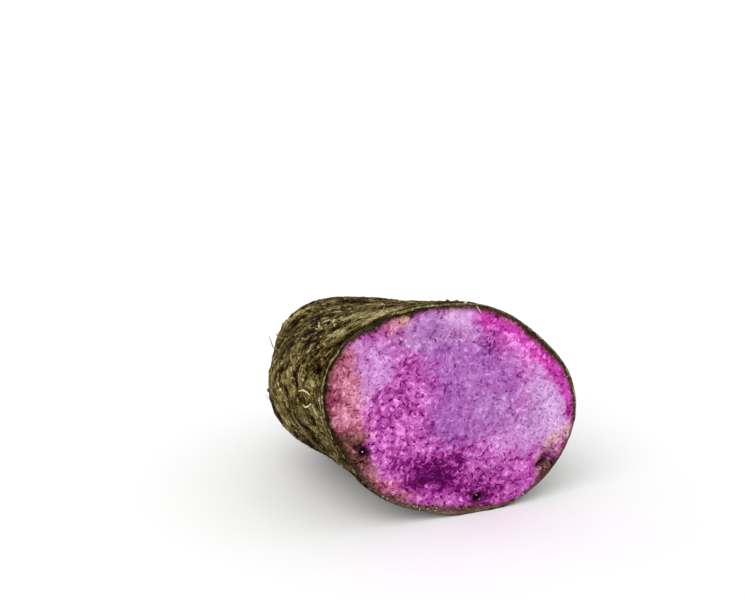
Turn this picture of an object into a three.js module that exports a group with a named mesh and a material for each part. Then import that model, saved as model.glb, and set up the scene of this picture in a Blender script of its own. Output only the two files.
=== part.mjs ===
// Half of a purple yam tuber, cut straight across at its widest part and lying on its side.
// One solid, as it grew: bark-like skin all round, a rounded root end at the back and the flat
// cut face at the front. Millimetres, +Z up. The cut face looks along -Y, the tuber runs back
// along +Y, and the origin is on the surface it lies on, under the middle of its box.
import * as THREE from "three";

// ---- driving dimensions ------------------------------------------------------------------
const LENGTH = 86.0; // cut face to the tip of the root end
const CAP_M = 2.71; // how late the root end starts to close
const CAP_N = 2.19; // how round it closes
const REST_TRIM = 0.5; // depth of the flats that the tuber lies on, as it settled

// Outline of the cut: radius about CUT_CENTRE as mean + cosine and sine terms of 1..7 turns.
const CUT_CENTRE = [-3.85, 33.43]; // x, z
const CUT_MEAN = 36.987;
const CUT_COS = [0.072, 3.883, 0.042, -0.007, 0.502, -0.001, 0.053];
const CUT_SIN = [0.677, -3.876, 0.493, -0.794, 0.272, -0.182, 0.099];

// Sides of the tuber at five stations from the cut (0) to the root end (1), before it closes.
const LEFT_X = [-46.0, -48.1, -50.4, -47.4, -47.3];
const RIGHT_X = [38.3, 37.5, 34.5, 29.0, 23.0];
const TOP_Z = [67.2, 63.3, 60.4, 61.1, 66.1];
const BOTTOM_Z = [-0.34, -0.2, -3.36, -6.48, -4.53];

// How much of the section becomes an ellipse towards the root end, and where that is complete.
const EASE_SHARE = 0.62;
const EASE_END = 0.6;

// Swellings and hollows: [angle round the section in degrees, station, angular spread in
// degrees, spread along the tuber, height in mm].
const LUMPS = [
  [92, 0.12, 26, 0.16, 0.17],
  [96, 0.38, 26, 0.16, -0.09],
  [100, 0.64, 28, 0.16, -1.58],
  [128, 0.2, 26, 0.18, -0.06],
  [135, 0.85, 30, 0.15, 2.51],
  [160, 0.6, 26, 0.18, -1.1],
  [185, 0.85, 30, 0.15, -1.44],
  [205, 0.5, 26, 0.18, -0.38],
  [228, 0.16, 22, 0.16, -0.38],
  [232, 0.4, 24, 0.17, -3.79],
  [235, 0.66, 26, 0.16, -0.91],
  [90, 0.9, 30, 0.13, 1.19],
  [20, 0.5, 30, 0.2, 1.6],
  [-18, 0.78, 30, 0.16, 1.8],
  [55, 0.34, 26, 0.16, -1.3],
  [8, 0.22, 30, 0.14, -0.9],
  [38, 0.72, 30, 0.14, 1.4],
  [-40, 0.45, 26, 0.16, -1.2],
  [258, 0.62, 16, 0.14, 2.0],
];

const ROUND = 72; // points round each section
const ALONG = 40; // sections from the cut to the tip

// ---- geometry ----------------------------------------------------------------------------
const cutRadius = (a) => {
  let r = CUT_MEAN;
  for (let k = 1; k <= CUT_COS.length; k++)
    r += CUT_COS[k - 1] * Math.cos(k * a) + CUT_SIN[k - 1] * Math.sin(k * a);
  return r;
};

// A smooth curve through five station values.
const station = (v, s) => {
  const n = v.length - 1;
  const x = Math.min(Math.max(s, 0), 1) * n;
  const i = Math.min(Math.floor(x), n - 1);
  const f = x - i;
  const slope = (j) =>
    j === 0 ? v[1] - v[0] : j === n ? v[n] - v[n - 1] : (v[j + 1] - v[j - 1]) / 2;
  const f2 = f * f;
  const f3 = f2 * f;
  return (
    (2 * f3 - 3 * f2 + 1) * v[i] +
    (f3 - 2 * f2 + f) * slope(i) +
    (3 * f2 - 2 * f3) * v[i + 1] +
    (f3 - f2) * slope(i + 1)
  );
};

const ease = (x) => {
  const t = Math.min(Math.max(x, 0), 1);
  return t * t * (3 - 2 * t);
};

const cutMid = [(LEFT_X[0] + RIGHT_X[0]) / 2, (TOP_Z[0] + BOTTOM_Z[0]) / 2];
const cutHalf = [(RIGHT_X[0] - LEFT_X[0]) / 2, (TOP_Z[0] - BOTTOM_Z[0]) / 2];

// The point of the skin at angle a (radians, 0 to the right, a quarter turn up) and station s.
const skin = (a, s) => {
  const close = Math.pow(Math.max(1 - Math.pow(s, CAP_M), 0), 1 / CAP_N);
  const l = station(LEFT_X, s);
  const r = station(RIGHT_X, s);
  const t = station(TOP_Z, s);
  const b = station(BOTTOM_Z, s);
  const w = ease(s / EASE_END) * EASE_SHARE;
  const c = Math.cos(a);
  const n = Math.sin(a);
  const rad = cutRadius(a);
  const ux = (1 - w) * ((rad * c + CUT_CENTRE[0] - cutMid[0]) / cutHalf[0]) + w * c;
  const uz = (1 - w) * ((rad * n + CUT_CENTRE[1] - cutMid[1]) / cutHalf[1]) + w * n;
  let d = 0;
  for (const [deg, sp, wa, ws, h] of LUMPS) {
    const da = ((((a * 180) / Math.PI - deg + 180) % 360) + 360) % 360 - 180;
    d += h * Math.exp(-0.5 * (da / wa) ** 2 - 0.5 * ((s - sp) / ws) ** 2);
  }
  d *= ease(s / 0.1) * ease(close / 0.35);
  const x = (l + r) / 2 + (close * (r - l) * ux) / 2 + d * c;
  const z = (t + b) / 2 + (close * (t - b) * uz) / 2 + d * n;
  return new THREE.Vector3(x, LENGTH * s, Math.max(z - REST_TRIM, 0));
};

// Stations: even along the barrel, closing up round the root end.
const stations = [];
const barrel = Math.round(ALONG * 0.62);
for (let i = 0; i < barrel; i++) stations.push((0.72 * i) / barrel);
for (let i = 0; i < ALONG - barrel; i++)
  stations.push(0.72 + 0.28 * Math.sin(((Math.PI / 2) * i) / (ALONG - barrel)));

const points = [];
for (const s of stations)
  for (let j = 0; j < ROUND; j++) points.push(skin((j / ROUND) * 2 * Math.PI, s));
const tip = points.push(skin(0, 1)) - 1;
const middle = new THREE.Vector3();
for (let j = 0; j < ROUND; j++) middle.addScaledVector(points[j], 1 / ROUND);
const cutCentre = points.push(middle) - 1;

const faces = [];
const rows = stations.length;
for (let i = 0; i < rows - 1; i++)
  for (let j = 0; j < ROUND; j++) {
    const k = (j + 1) % ROUND;
    const p = i * ROUND + j;
    const q = i * ROUND + k;
    const u = (i + 1) * ROUND + j;
    const v = (i + 1) * ROUND + k;
    faces.push(p, v, q, p, u, v);
  }
for (let j = 0; j < ROUND; j++) {
  const k = (j + 1) % ROUND;
  faces.push((rows - 1) * ROUND + j, tip, (rows - 1) * ROUND + k); // root end
  faces.push(j, k, cutCentre); // flat cut face
}

const geometry = new THREE.BufferGeometry().setFromPoints(points);
geometry.setIndex(faces);
geometry.computeVertexNormals();

// The origin goes under the middle of the box.
geometry.computeBoundingBox();
const box = geometry.boundingBox;
const shift = [-(box.min.x + box.max.x) / 2, -(box.min.y + box.max.y) / 2, -box.min.z];
geometry.translate(...shift);

const halfYam = new THREE.Mesh(
  geometry,
  new THREE.MeshStandardMaterial({ color: 0x5c5030, roughness: 0.85, metalness: 0 }),
);
halfYam.name = "half_yam";

const part = new THREE.Group();
part.add(halfYam);

export default part;
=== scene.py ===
import math

import bpy
import numpy as np
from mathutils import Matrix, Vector


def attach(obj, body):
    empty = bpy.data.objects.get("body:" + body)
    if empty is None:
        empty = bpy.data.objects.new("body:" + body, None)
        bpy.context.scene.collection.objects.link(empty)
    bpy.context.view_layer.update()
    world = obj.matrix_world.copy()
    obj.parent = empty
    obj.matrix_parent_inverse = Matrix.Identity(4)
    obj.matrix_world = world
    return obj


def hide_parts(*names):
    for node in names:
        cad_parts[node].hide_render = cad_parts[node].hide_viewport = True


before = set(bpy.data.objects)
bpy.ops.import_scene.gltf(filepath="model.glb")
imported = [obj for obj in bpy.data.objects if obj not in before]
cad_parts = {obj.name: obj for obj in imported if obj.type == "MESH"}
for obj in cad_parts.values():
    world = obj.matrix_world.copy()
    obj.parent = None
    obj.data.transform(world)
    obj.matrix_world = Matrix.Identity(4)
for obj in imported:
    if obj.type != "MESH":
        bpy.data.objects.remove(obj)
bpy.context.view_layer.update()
MM = 0.001

# =========================================================================================
# The camera. Its numbers are also used to place marks that are known by where they show.
# =========================================================================================
CAM_LOC = np.array([-184.317, -399.821, 174.419])  # mm
CAM_ROT = (math.radians(75.0), 0.0, math.radians(-24.0))
LENS, SENSOR, WIDE, HIGH = 70.0, 36.0, 745.0, 600.0
CUT_Y = -43.0


def camera_axes():
    rx, rz = CAM_ROT[0], CAM_ROT[2]
    right = np.array([math.cos(rz), math.sin(rz), 0.0])
    up = np.array([-math.sin(rz) * math.cos(rx), math.cos(rz) * math.cos(rx), math.sin(rx)])
    return right, up, np.cross(right, up)


def on_cut(u, v):
    """The (x, z) in mm of the cut plane that shows at a pixel of the frame."""
    right, up, back = camera_axes()
    f = LENS / SENSOR * WIDE
    d = right * (u - WIDE / 2) / f - up * (v - HIGH / 2) / f - back
    k = (CUT_Y - CAM_LOC[1]) / d[1]
    p = CAM_LOC + d * k
    return float(p[0]), float(p[2])


# =========================================================================================
# Noise in numpy, the same every run
# =========================================================================================
def _hash(ix, iy, iz, seed):
    h = ix.astype(np.int64) * 73856093 ^ iy.astype(np.int64) * 19349663 ^ iz.astype(np.int64) * 83492791
    h = (h ^ (seed * 2654435761)) & 0xFFFFFFFF
    h = ((h ^ (h >> 15)) * 0x2C1B3C6D) & 0xFFFFFFFF
    h = ((h ^ (h >> 12)) * 0x297A2D39) & 0xFFFFFFFF
    return h ^ (h >> 15)


def noise(p, seed=0):
    """Gradient noise of points (n, 3), about -1 to 1."""
    i = np.floor(p).astype(np.int64)
    f = p - i
    w = f * f * f * (f * (f * 6 - 15) + 10)
    out = np.zeros(len(p))
    for dx in (0, 1):
        for dy in (0, 1):
            for dz in (0, 1):
                h = _hash(i[:, 0] + dx, i[:, 1] + dy, i[:, 2] + dz, seed)
                gx = (h & 1023) / 511.5 - 1
                gy = ((h >> 10) & 1023) / 511.5 - 1
                gz = ((h >> 20) & 1023) / 511.5 - 1
                dot = gx * (f[:, 0] - dx) + gy * (f[:, 1] - dy) + gz * (f[:, 2] - dz)
                k = (
                    (w[:, 0] if dx else 1 - w[:, 0])
                    * (w[:, 1] if dy else 1 - w[:, 1])
                    * (w[:, 2] if dz else 1 - w[:, 2])
                )
                out += k * dot
    return out * 1.6


TURN = np.array([[0.36, 0.48, -0.8], [-0.8, 0.6, 0.0], [0.48, 0.64, 0.6]])


def fbm(p, octaves=3, seed=0, gain=0.5):
    out, amp, total = 0.0, 1.0, 0.0
    q = p
    for o in range(octaves):
        out = out + amp * noise(q, seed + 17 * o)
        total += amp
        amp *= gain
        q = (q @ TURN.T) * 2.03 + 3.7
    return out / total


def ease(x, lo=0.0, hi=1.0):
    t = np.clip((x - lo) / (hi - lo), 0, 1)
    return t * t * (3 - 2 * t)


# =========================================================================================
# The tuber's shape, in mm: the same formula as the solid that it stands for
# =========================================================================================
LENGTH, CAP_M, CAP_N, REST_TRIM = 86.0, 2.71, 2.19, 0.5
CUT_CENTRE, CUT_MEAN = (-3.85, 33.43), 36.987
CUT_COS = (0.072, 3.883, 0.042, -0.007, 0.502, -0.001, 0.053)
CUT_SIN = (0.677, -3.876, 0.493, -0.794, 0.272, -0.182, 0.099)
LEFT_X = np.array([-46.0, -48.1, -50.4, -47.4, -47.3])
RIGHT_X = np.array([38.3, 37.5, 34.5, 29.0, 23.0])
TOP_Z = np.array([67.2, 63.3, 60.4, 61.1, 66.1])
BOTTOM_Z = np.array([-0.34, -0.2, -3.36, -6.48, -4.53])
EASE_SHARE, EASE_END = 0.62, 0.6
LUMPS = (
    (92, 0.12, 26, 0.16, 0.17), (96, 0.38, 26, 0.16, -0.09), (100, 0.64, 28, 0.16, -1.58),
    (128, 0.2, 26, 0.18, -0.06), (135, 0.85, 30, 0.15, 2.51), (160, 0.6, 26, 0.18, -1.1),
    (185, 0.85, 30, 0.15, -1.44), (205, 0.5, 26, 0.18, -0.38), (228, 0.16, 22, 0.16, -0.38),
    (232, 0.4, 24, 0.17, -3.79), (235, 0.66, 26, 0.16, -0.91), (90, 0.9, 30, 0.13, 1.19),
    (20, 0.5, 30, 0.2, 1.6), (-18, 0.78, 30, 0.16, 1.8), (55, 0.34, 26, 0.16, -1.3),
    (8, 0.22, 30, 0.14, -0.9), (38, 0.72, 30, 0.14, 1.4), (-40, 0.45, 26, 0.16, -1.2),
    (258, 0.62, 16, 0.14, 2.0),
)


def station(v, s):
    n = len(v) - 1
    x = np.clip(s, 0, 1) * n
    i = np.minimum(np.floor(x).astype(int), n - 1)
    f = x - i
    slope = np.empty(n + 1)
    slope[0], slope[n] = v[1] - v[0], v[n] - v[n - 1]
    slope[1:n] = (v[2:] - v[:-2]) / 2
    f2, f3 = f * f, f * f * f
    return (
        (2 * f3 - 3 * f2 + 1) * v[i] + (f3 - 2 * f2 + f) * slope[i]
        + (3 * f2 - 2 * f3) * v[i + 1] + (f3 - f2) * slope[i + 1]
    )


CUT_MID = ((LEFT_X[0] + RIGHT_X[0]) / 2, (TOP_Z[0] + BOTTOM_Z[0]) / 2)
CUT_HALF = ((RIGHT_X[0] - LEFT_X[0]) / 2, (TOP_Z[0] - BOTTOM_Z[0]) / 2)
OFFSET = np.zeros(3)


def base(a, s):
    """The smooth skin at angle a (radians) and station s, before any fine relief."""
    close = np.power(np.maximum(1 - np.power(s, CAP_M), 0), 1 / CAP_N)
    l, r, t, b = station(LEFT_X, s), station(RIGHT_X, s), station(TOP_Z, s), station(BOTTOM_Z, s)
    w = ease(s / EASE_END) * EASE_SHARE
    c, n = np.cos(a), np.sin(a)
    rad = CUT_MEAN
    for k in range(7):
        rad = rad + CUT_COS[k] * np.cos((k + 1) * a) + CUT_SIN[k] * np.sin((k + 1) * a)
    ux = (1 - w) * ((rad * c + CUT_CENTRE[0] - CUT_MID[0]) / CUT_HALF[0]) + w * c
    uz = (1 - w) * ((rad * n + CUT_CENTRE[1] - CUT_MID[1]) / CUT_HALF[1]) + w * n
    d = 0.0
    for deg, sp, wa, ws, h in LUMPS:
        da = (np.degrees(a) - deg + 180) % 360 - 180
        d = d + h * np.exp(-0.5 * (da / wa) ** 2 - 0.5 * ((s - sp) / ws) ** 2)
    d = d * ease(s / 0.1) * ease(close / 0.35)
    x = (l + r) / 2 + close * (r - l) * ux / 2 + d * c
    z = (t + b) / 2 + close * (t - b) * uz / 2 + d * n
    return np.stack([x, LENGTH * s, z - REST_TRIM], -1) + OFFSET


# The origin goes under the middle of the box, as on the solid.
_a, _s = np.meshgrid(
    np.arange(72) / 72 * 2 * np.pi,
    np.r_[0.72 * np.arange(25) / 25, 0.72 + 0.28 * np.sin(np.pi / 2 * np.arange(15) / 15), 1.0],
)
_p = base(_a.ravel(), _s.ravel())
OFFSET = np.array([-(_p[:, 0].min() + _p[:, 0].max()) / 2, -(_p[:, 1].min() + _p[:, 1].max()) / 2, 0.0])


def to_s(t):
    """Station from the even parameter t, which stays well behaved up to the tip."""
    return 1 - np.power(np.clip(1 - t, 0, 1), CAP_N)


def skin_frame(a, t):
    """Smooth point, outward normal, and the sizes and directions of a step in a and in t."""
    e = 1e-3
    t = np.clip(t, 0.0, 0.9995)
    p = base(a, to_s(t))
    pa = (base(a + e, to_s(t)) - base(a - e, to_s(t))) / (2 * e)
    t0, t1 = np.maximum(t - e, 0), np.minimum(t + e, 0.9999)
    pt = (base(a, to_s(t1)) - base(a, to_s(t0))) / (t1 - t0)[:, None]
    n = np.cross(pt, pa)
    n /= np.linalg.norm(n, axis=1, keepdims=True) + 1e-12
    return p, n, pa, pt


def flow_of(a, s, p):
    """How far the skin's fibres run along the tuber (1) and not round it (0)."""
    deg = np.degrees(a) % 360

    def hump(c, w):
        return np.exp(-0.5 * (((deg - c + 180) % 360 - 180) / w) ** 2)

    f = 0.12 + 0.95 * hump(98, 34) + 0.85 * hump(236, 26) + 0.45 * hump(330, 40)
    f = f + 0.45 * noise(p / 13.0, 91)
    return np.clip(f, 0, 1) * ease(s, 0.015, 0.09)


def cells(q, seed):
    """Distance to the nearest and next nearest of one random point a unit cell, and the nearest
    point's own number."""
    i = np.floor(q).astype(np.int64)
    best = np.full(len(q), 9.0)
    second = np.full(len(q), 9.0)
    own = np.zeros(len(q))
    for dx in (-1, 0, 1):
        for dy in (-1, 0, 1):
            for dz in (-1, 0, 1):
                c = i + [dx, dy, dz]
                h = _hash(c[:, 0], c[:, 1], c[:, 2], seed)
                at = c + np.stack([(h & 255) / 255.0, ((h >> 8) & 255) / 255.0, ((h >> 16) & 255) / 255.0], 1)
                d = np.linalg.norm(q - at, axis=1)
                closer = d < best
                second = np.where(closer, best, np.minimum(second, d))
                own = np.where(closer, ((h >> 24) & 255) / 255.0, own)
                best = np.where(closer, d, best)
    return best, second, own


def relief(a, s, p):
    """Height of the bark over the smooth skin in mm, and how high it stands among its
    neighbours (0 in a crevice, 1 on a crest)."""
    wob = np.stack([noise(p / 5.0, 5), noise(p / 5.0 + 9.1, 6), noise(p / 5.0 - 4.3, 7)], 1) * 1.5
    wob2 = np.stack([noise(p / 1.8, 8), noise(p / 1.8 + 9.1, 9), noise(p / 1.8 - 4.3, 10)], 1) * 0.5
    q = p + wob + wob2
    flow = flow_of(a, s, p)
    ring = noise(q * [0.24, 0.6, 0.24], 21)
    lon = noise(q * [0.6, 0.22, 0.6], 23)
    fibre = (1 - flow) * ring + flow * lon
    # crumbs of corky bark with cracks between some of them
    stretch = 1 + flow[:, None] * np.array([0.2, -0.35, 0.2]) + (1 - flow)[:, None] * np.array([-0.2, 0.15, -0.2])
    f1, f2, own = cells(q * stretch / 2.5, 33)
    crack = (1 - ease(f2 - f1, 0.02, 0.24)) * ease(noise(p / 6.0, 35), -0.25, 0.35)
    # matted strands: narrow crests that wander over the skin
    worm = np.clip(1 - np.abs(noise(q * stretch * 0.42, 34)) * 5.0, 0, 1) * ease(noise(p / 8.0, 36), -0.2, 0.4)
    crease = np.clip(1 - np.abs(noise(q / [4.0, 3.4, 4.0], 31)) * 3.6, 0, 1) ** 2
    crease = crease * (0.25 + 0.75 * ease(noise(p / 3.6, 38), -0.1, 0.4))
    grit = fbm(p / 1.25, 2, 41)
    dents = fbm(p / 3.6, 2, 51)
    swell = fbm(p / 17.0, 2, 61)
    rim = ease(s, 0.0, 0.03)
    rough = 0.4 + 0.75 * ease(noise(p / 8.0, 37), -0.3, 0.35)  # some places are crumbly, some are smooth
    h = (0.5 * swell + 0.28 * dents) * (0.35 + 0.65 * rim)
    h = h + rough * (
        0.12 * fibre + 0.18 * (own - 0.5) + 0.2 * (0.5 - f1) - 0.22 * crack + 0.14 * worm - 0.28 * crease + 0.13 * grit
    ) * (0.3 + 0.7 * rim)
    # up sets the bark's colour: each crumb has its own tone, and crevices and creases are darker and crests lighter,
    # which is partly painted shade in the hollows and painted light on the crests
    up = 0.17 * fibre + 0.26 * (own - 0.5) + 0.2 * (0.48 - f1) - 0.28 * crack + 0.22 * worm - 0.32 * crease
    up = 0.5 + rough * (up + 0.3 * grit) + 0.42 * dents
    return h - 0.15, np.clip(up, -0.1, 1.1)


# Ridges (+) and crevices (-) of the bark: points of a line on the smooth skin, half width in mm
# and weight. The list is filled further down, once the places on the skin can be found.
LINES = []


def lines(p):
    """How much the ridges (+) and crevices (-) raise or sink the skin at these points."""
    order = np.argsort(p[:, 1])
    ys = p[order, 1]
    out = np.zeros(len(p))
    for pts, w, weight in LINES:
        reach = 2.3 * w
        lo, hi = pts.min(0) - reach, pts.max(0) + reach
        idx = order[np.searchsorted(ys, lo[1]):np.searchsorted(ys, hi[1])]
        q = p[idx]
        idx = idx[(q[:, 0] > lo[0]) & (q[:, 0] < hi[0]) & (q[:, 2] > lo[2]) & (q[:, 2] < hi[2])]
        if len(idx) == 0:
            continue
        q = p[idx]
        d2 = np.full(len(q), 1e9)
        at = np.zeros(len(q))
        n = len(pts) - 1
        for j in range(n):
            ab = pts[j + 1] - pts[j]
            k = np.clip(((q - pts[j]) @ ab) / (ab @ ab + 1e-9), 0, 1)
            e = ((q - pts[j] - k[:, None] * ab) ** 2).sum(1)
            at = np.where(e < d2, (j + k) / n, at)
            d2 = np.minimum(d2, e)
        thin = 0.55 + 0.45 * np.sin(np.pi * np.clip(at, 0.04, 0.96)) if n > 1 else 1.0
        out[idx] += weight * np.exp(-d2 / (w * thin) ** 2)
    return np.clip(out, -1.5, 1.4)


# Root scars: small round buttons on the skin, (angle, station, radius, height) in mm.
rng = np.random.default_rng(4127)
SCARS = [(math.radians(g), s, r, h) for g, s, r, h in (
    (186, 0.66, 1.0, 0.9), (178, 0.38, 0.8, 0.7), (150, 0.52, 0.8, 0.6), (205, 0.3, 0.7, 0.5),
    (120, 0.7, 0.9, 0.7), (168, 0.86, 0.9, 0.8), (140, 0.27, 0.6, 0.5), (215, 0.72, 0.8, 0.6),
)]
for _ in range(46):
    SCARS.append((rng.uniform(0, 2 * np.pi), rng.uniform(0.05, 0.97), rng.uniform(0.55, 1.1), rng.uniform(0.35, 0.8)))


def scar_points():
    a = np.array([s[0] for s in SCARS])
    s = np.array([s[1] for s in SCARS])
    return base(a, s)


SCAR_P = scar_points()


def skin(a, t):
    """The finished skin: (point, normal, height over its neighbours, scar mask)."""
    p, n, pa, pt = skin_frame(a, t)
    s = to_s(t)
    h, up = relief(a, s, p)
    line = lines(p + 0.35 * np.stack([noise(p / 1.6, 331), noise(p / 1.6, 332), noise(p / 1.6, 333)], 1))
    h = h + line * (0.16 + 0.1 * (line < 0)) * ease(s, 0.0, 0.02)
    scar = np.zeros(len(p))
    for c, (_, _, r, hh) in zip(SCAR_P, SCARS):
        d = np.linalg.norm(p - c, axis=1) / r
        near = d < 2.6
        if near.any():
            b = np.exp(-((d[near] / 0.8) ** 2))
            moat = np.exp(-(((d[near] - 1.45) / 0.4) ** 2))
            h[near] += hh * b - 0.35 * hh * moat
            scar[near] = np.maximum(scar[near], b)
            # the scar's button is lighter in colour and the moat round it is painted darker, painted shade in the moat
            up[near] = np.clip(up[near] + 0.5 * b - 0.6 * moat, 0, 1)
    q = p + n * h[:, None]
    q[:, 2] = np.maximum(q[:, 2], 0.0)
    return q, n, up, scar


# =========================================================================================
# The cut face
# =========================================================================================
def hump_deg(a, c, w):
    return np.exp(-0.5 * (((np.degrees(a) - c + 180) % 360 - 180) / w) ** 2)


# The rim of the cut, at places on it given as pixels of the frame: width of the skin's cut edge
# in mm and its tone, width of the gap behind it in mm and its tone, width in mm and strength of
# the browned flesh behind that.
RIM = (
    (430, 303, 0.85, 0.62, 1.0, 0.2, 1.3, 0.8), (452, 303, 0.75, 0.62, 0.8, 0.28, 1.5, 0.8),
    (400, 307, 1.0, 0.62, 1.1, 0.12, 1.2, 0.7), (385, 312, 0.5, 0.4, 1.4, 0.22, 0.8, 0.5),
    (372, 319, 0.5, 0.3, 1.7, 0.22, 1.0, 0.7), (360, 326, 0.5, 0.3, 1.8, 0.4, 0.9, 0.7), (350, 334, 0.5, 0.4, 1.4, 0.42, 0.9, 0.7),
    (343, 343, 0.6, 0.58, 0.9, 0.2, 1.3, 0.75), (335, 353, 0.8, 0.6, 0.75, 0.12, 1.9, 0.85), (328, 367, 0.85, 0.57, 0.95, 0.1, 2.2, 0.9),
    (323, 390, 0.9, 0.55, 1.1, 0.1, 2.4, 0.95), (325, 415, 0.8, 0.52, 1.1, 0.12, 2.3, 0.9),
    (335, 440, 0.6, 0.5, 1.2, 0.15, 2.0, 0.85), (352, 468, 0.5, 0.42, 1.6, 0.3, 1.6, 0.8),
    (370, 488, 0.5, 0.4, 1.1, 0.4, 1.6, 0.7), (390, 500, 0.5, 0.42, 0.8, 0.5, 2.0, 0.8),
    (420, 508, 0.6, 0.45, 0.7, 0.52, 1.8, 0.8), (450, 514, 1.5, 0.47, 0.4, 0.42, 1.2, 0.8),
    (480, 514, 1.5, 0.47, 0.2, 0.4, 0.9, 0.7), (505, 507, 0.7, 0.4, 0.2, 0.3, 0.8, 0.6),
    (525, 493, 0.35, 0.5, 0.2, 0.3, 0.8, 0.6), (545, 470, 0.3, 0.45, 0.3, 0.25, 1.1, 0.7),
    (560, 450, 0.25, 0.5, 0.2, 0.35, 1.0, 0.6), (569, 432, 0.25, 0.52, 0.2, 0.4, 1.0, 0.45), (574, 415, 0.3, 0.6, 0.4, 0.3, 1.2, 0.6),
    (577, 400, 0.4, 0.62, 0.45, 0.25, 1.3, 0.8), (573, 375, 0.45, 0.62, 0.6, 0.25, 1.4, 0.85),
    (562, 350, 0.35, 0.58, 0.9, 0.24, 1.4, 0.9), (545, 332, 0.35, 0.6, 1.0, 0.26, 1.5, 0.95),
    (520, 315, 0.35, 0.6, 1.0, 0.28, 1.5, 0.95), (490, 304, 0.4, 0.56, 1.0, 0.34, 1.5, 0.9),
    (470, 302, 0.45, 0.64, 1.1, 0.4, 1.3, 0.7),
)
_rim = []
for _row in RIM:
    _x, _z = on_cut(_row[0], _row[1])
    _rim.append((math.atan2(_z - CUT_CENTRE[1] - OFFSET[2] + REST_TRIM, _x - CUT_CENTRE[0] - OFFSET[0]) % (2 * math.pi),) + _row[2:])
_rim = np.array(sorted(_rim))


def hump_deg(a, c, w):
    return np.exp(-0.5 * (((np.degrees(a) - c + 180) % 360 - 180) / w) ** 2)


def rim_value(a, column):
    return np.interp(np.asarray(a) % (2 * np.pi), _rim[:, 0], _rim[:, column], period=2 * np.pi)


def lip_width(a):
    q = np.stack([np.cos(a) * 5, np.sin(a) * 5, 0 * a], 1)
    w = rim_value(a, 1)
    return np.maximum(w * (1 + 0.4 * noise(q, 71) + 0.3 * noise(q * 3.1, 75)) + 0.1 * noise(q * 6, 72), 0.12)


def groove_width(a):
    q = np.stack([np.cos(a) * 6, np.sin(a) * 6, 0 * a + 5.5], 1)
    w = rim_value(a, 3)
    return np.maximum(w * (1 + 0.45 * noise(q, 73) + 0.35 * noise(q * 3.3, 76)) + 0.12 * noise(q * 6, 74), 0.0)
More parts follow.
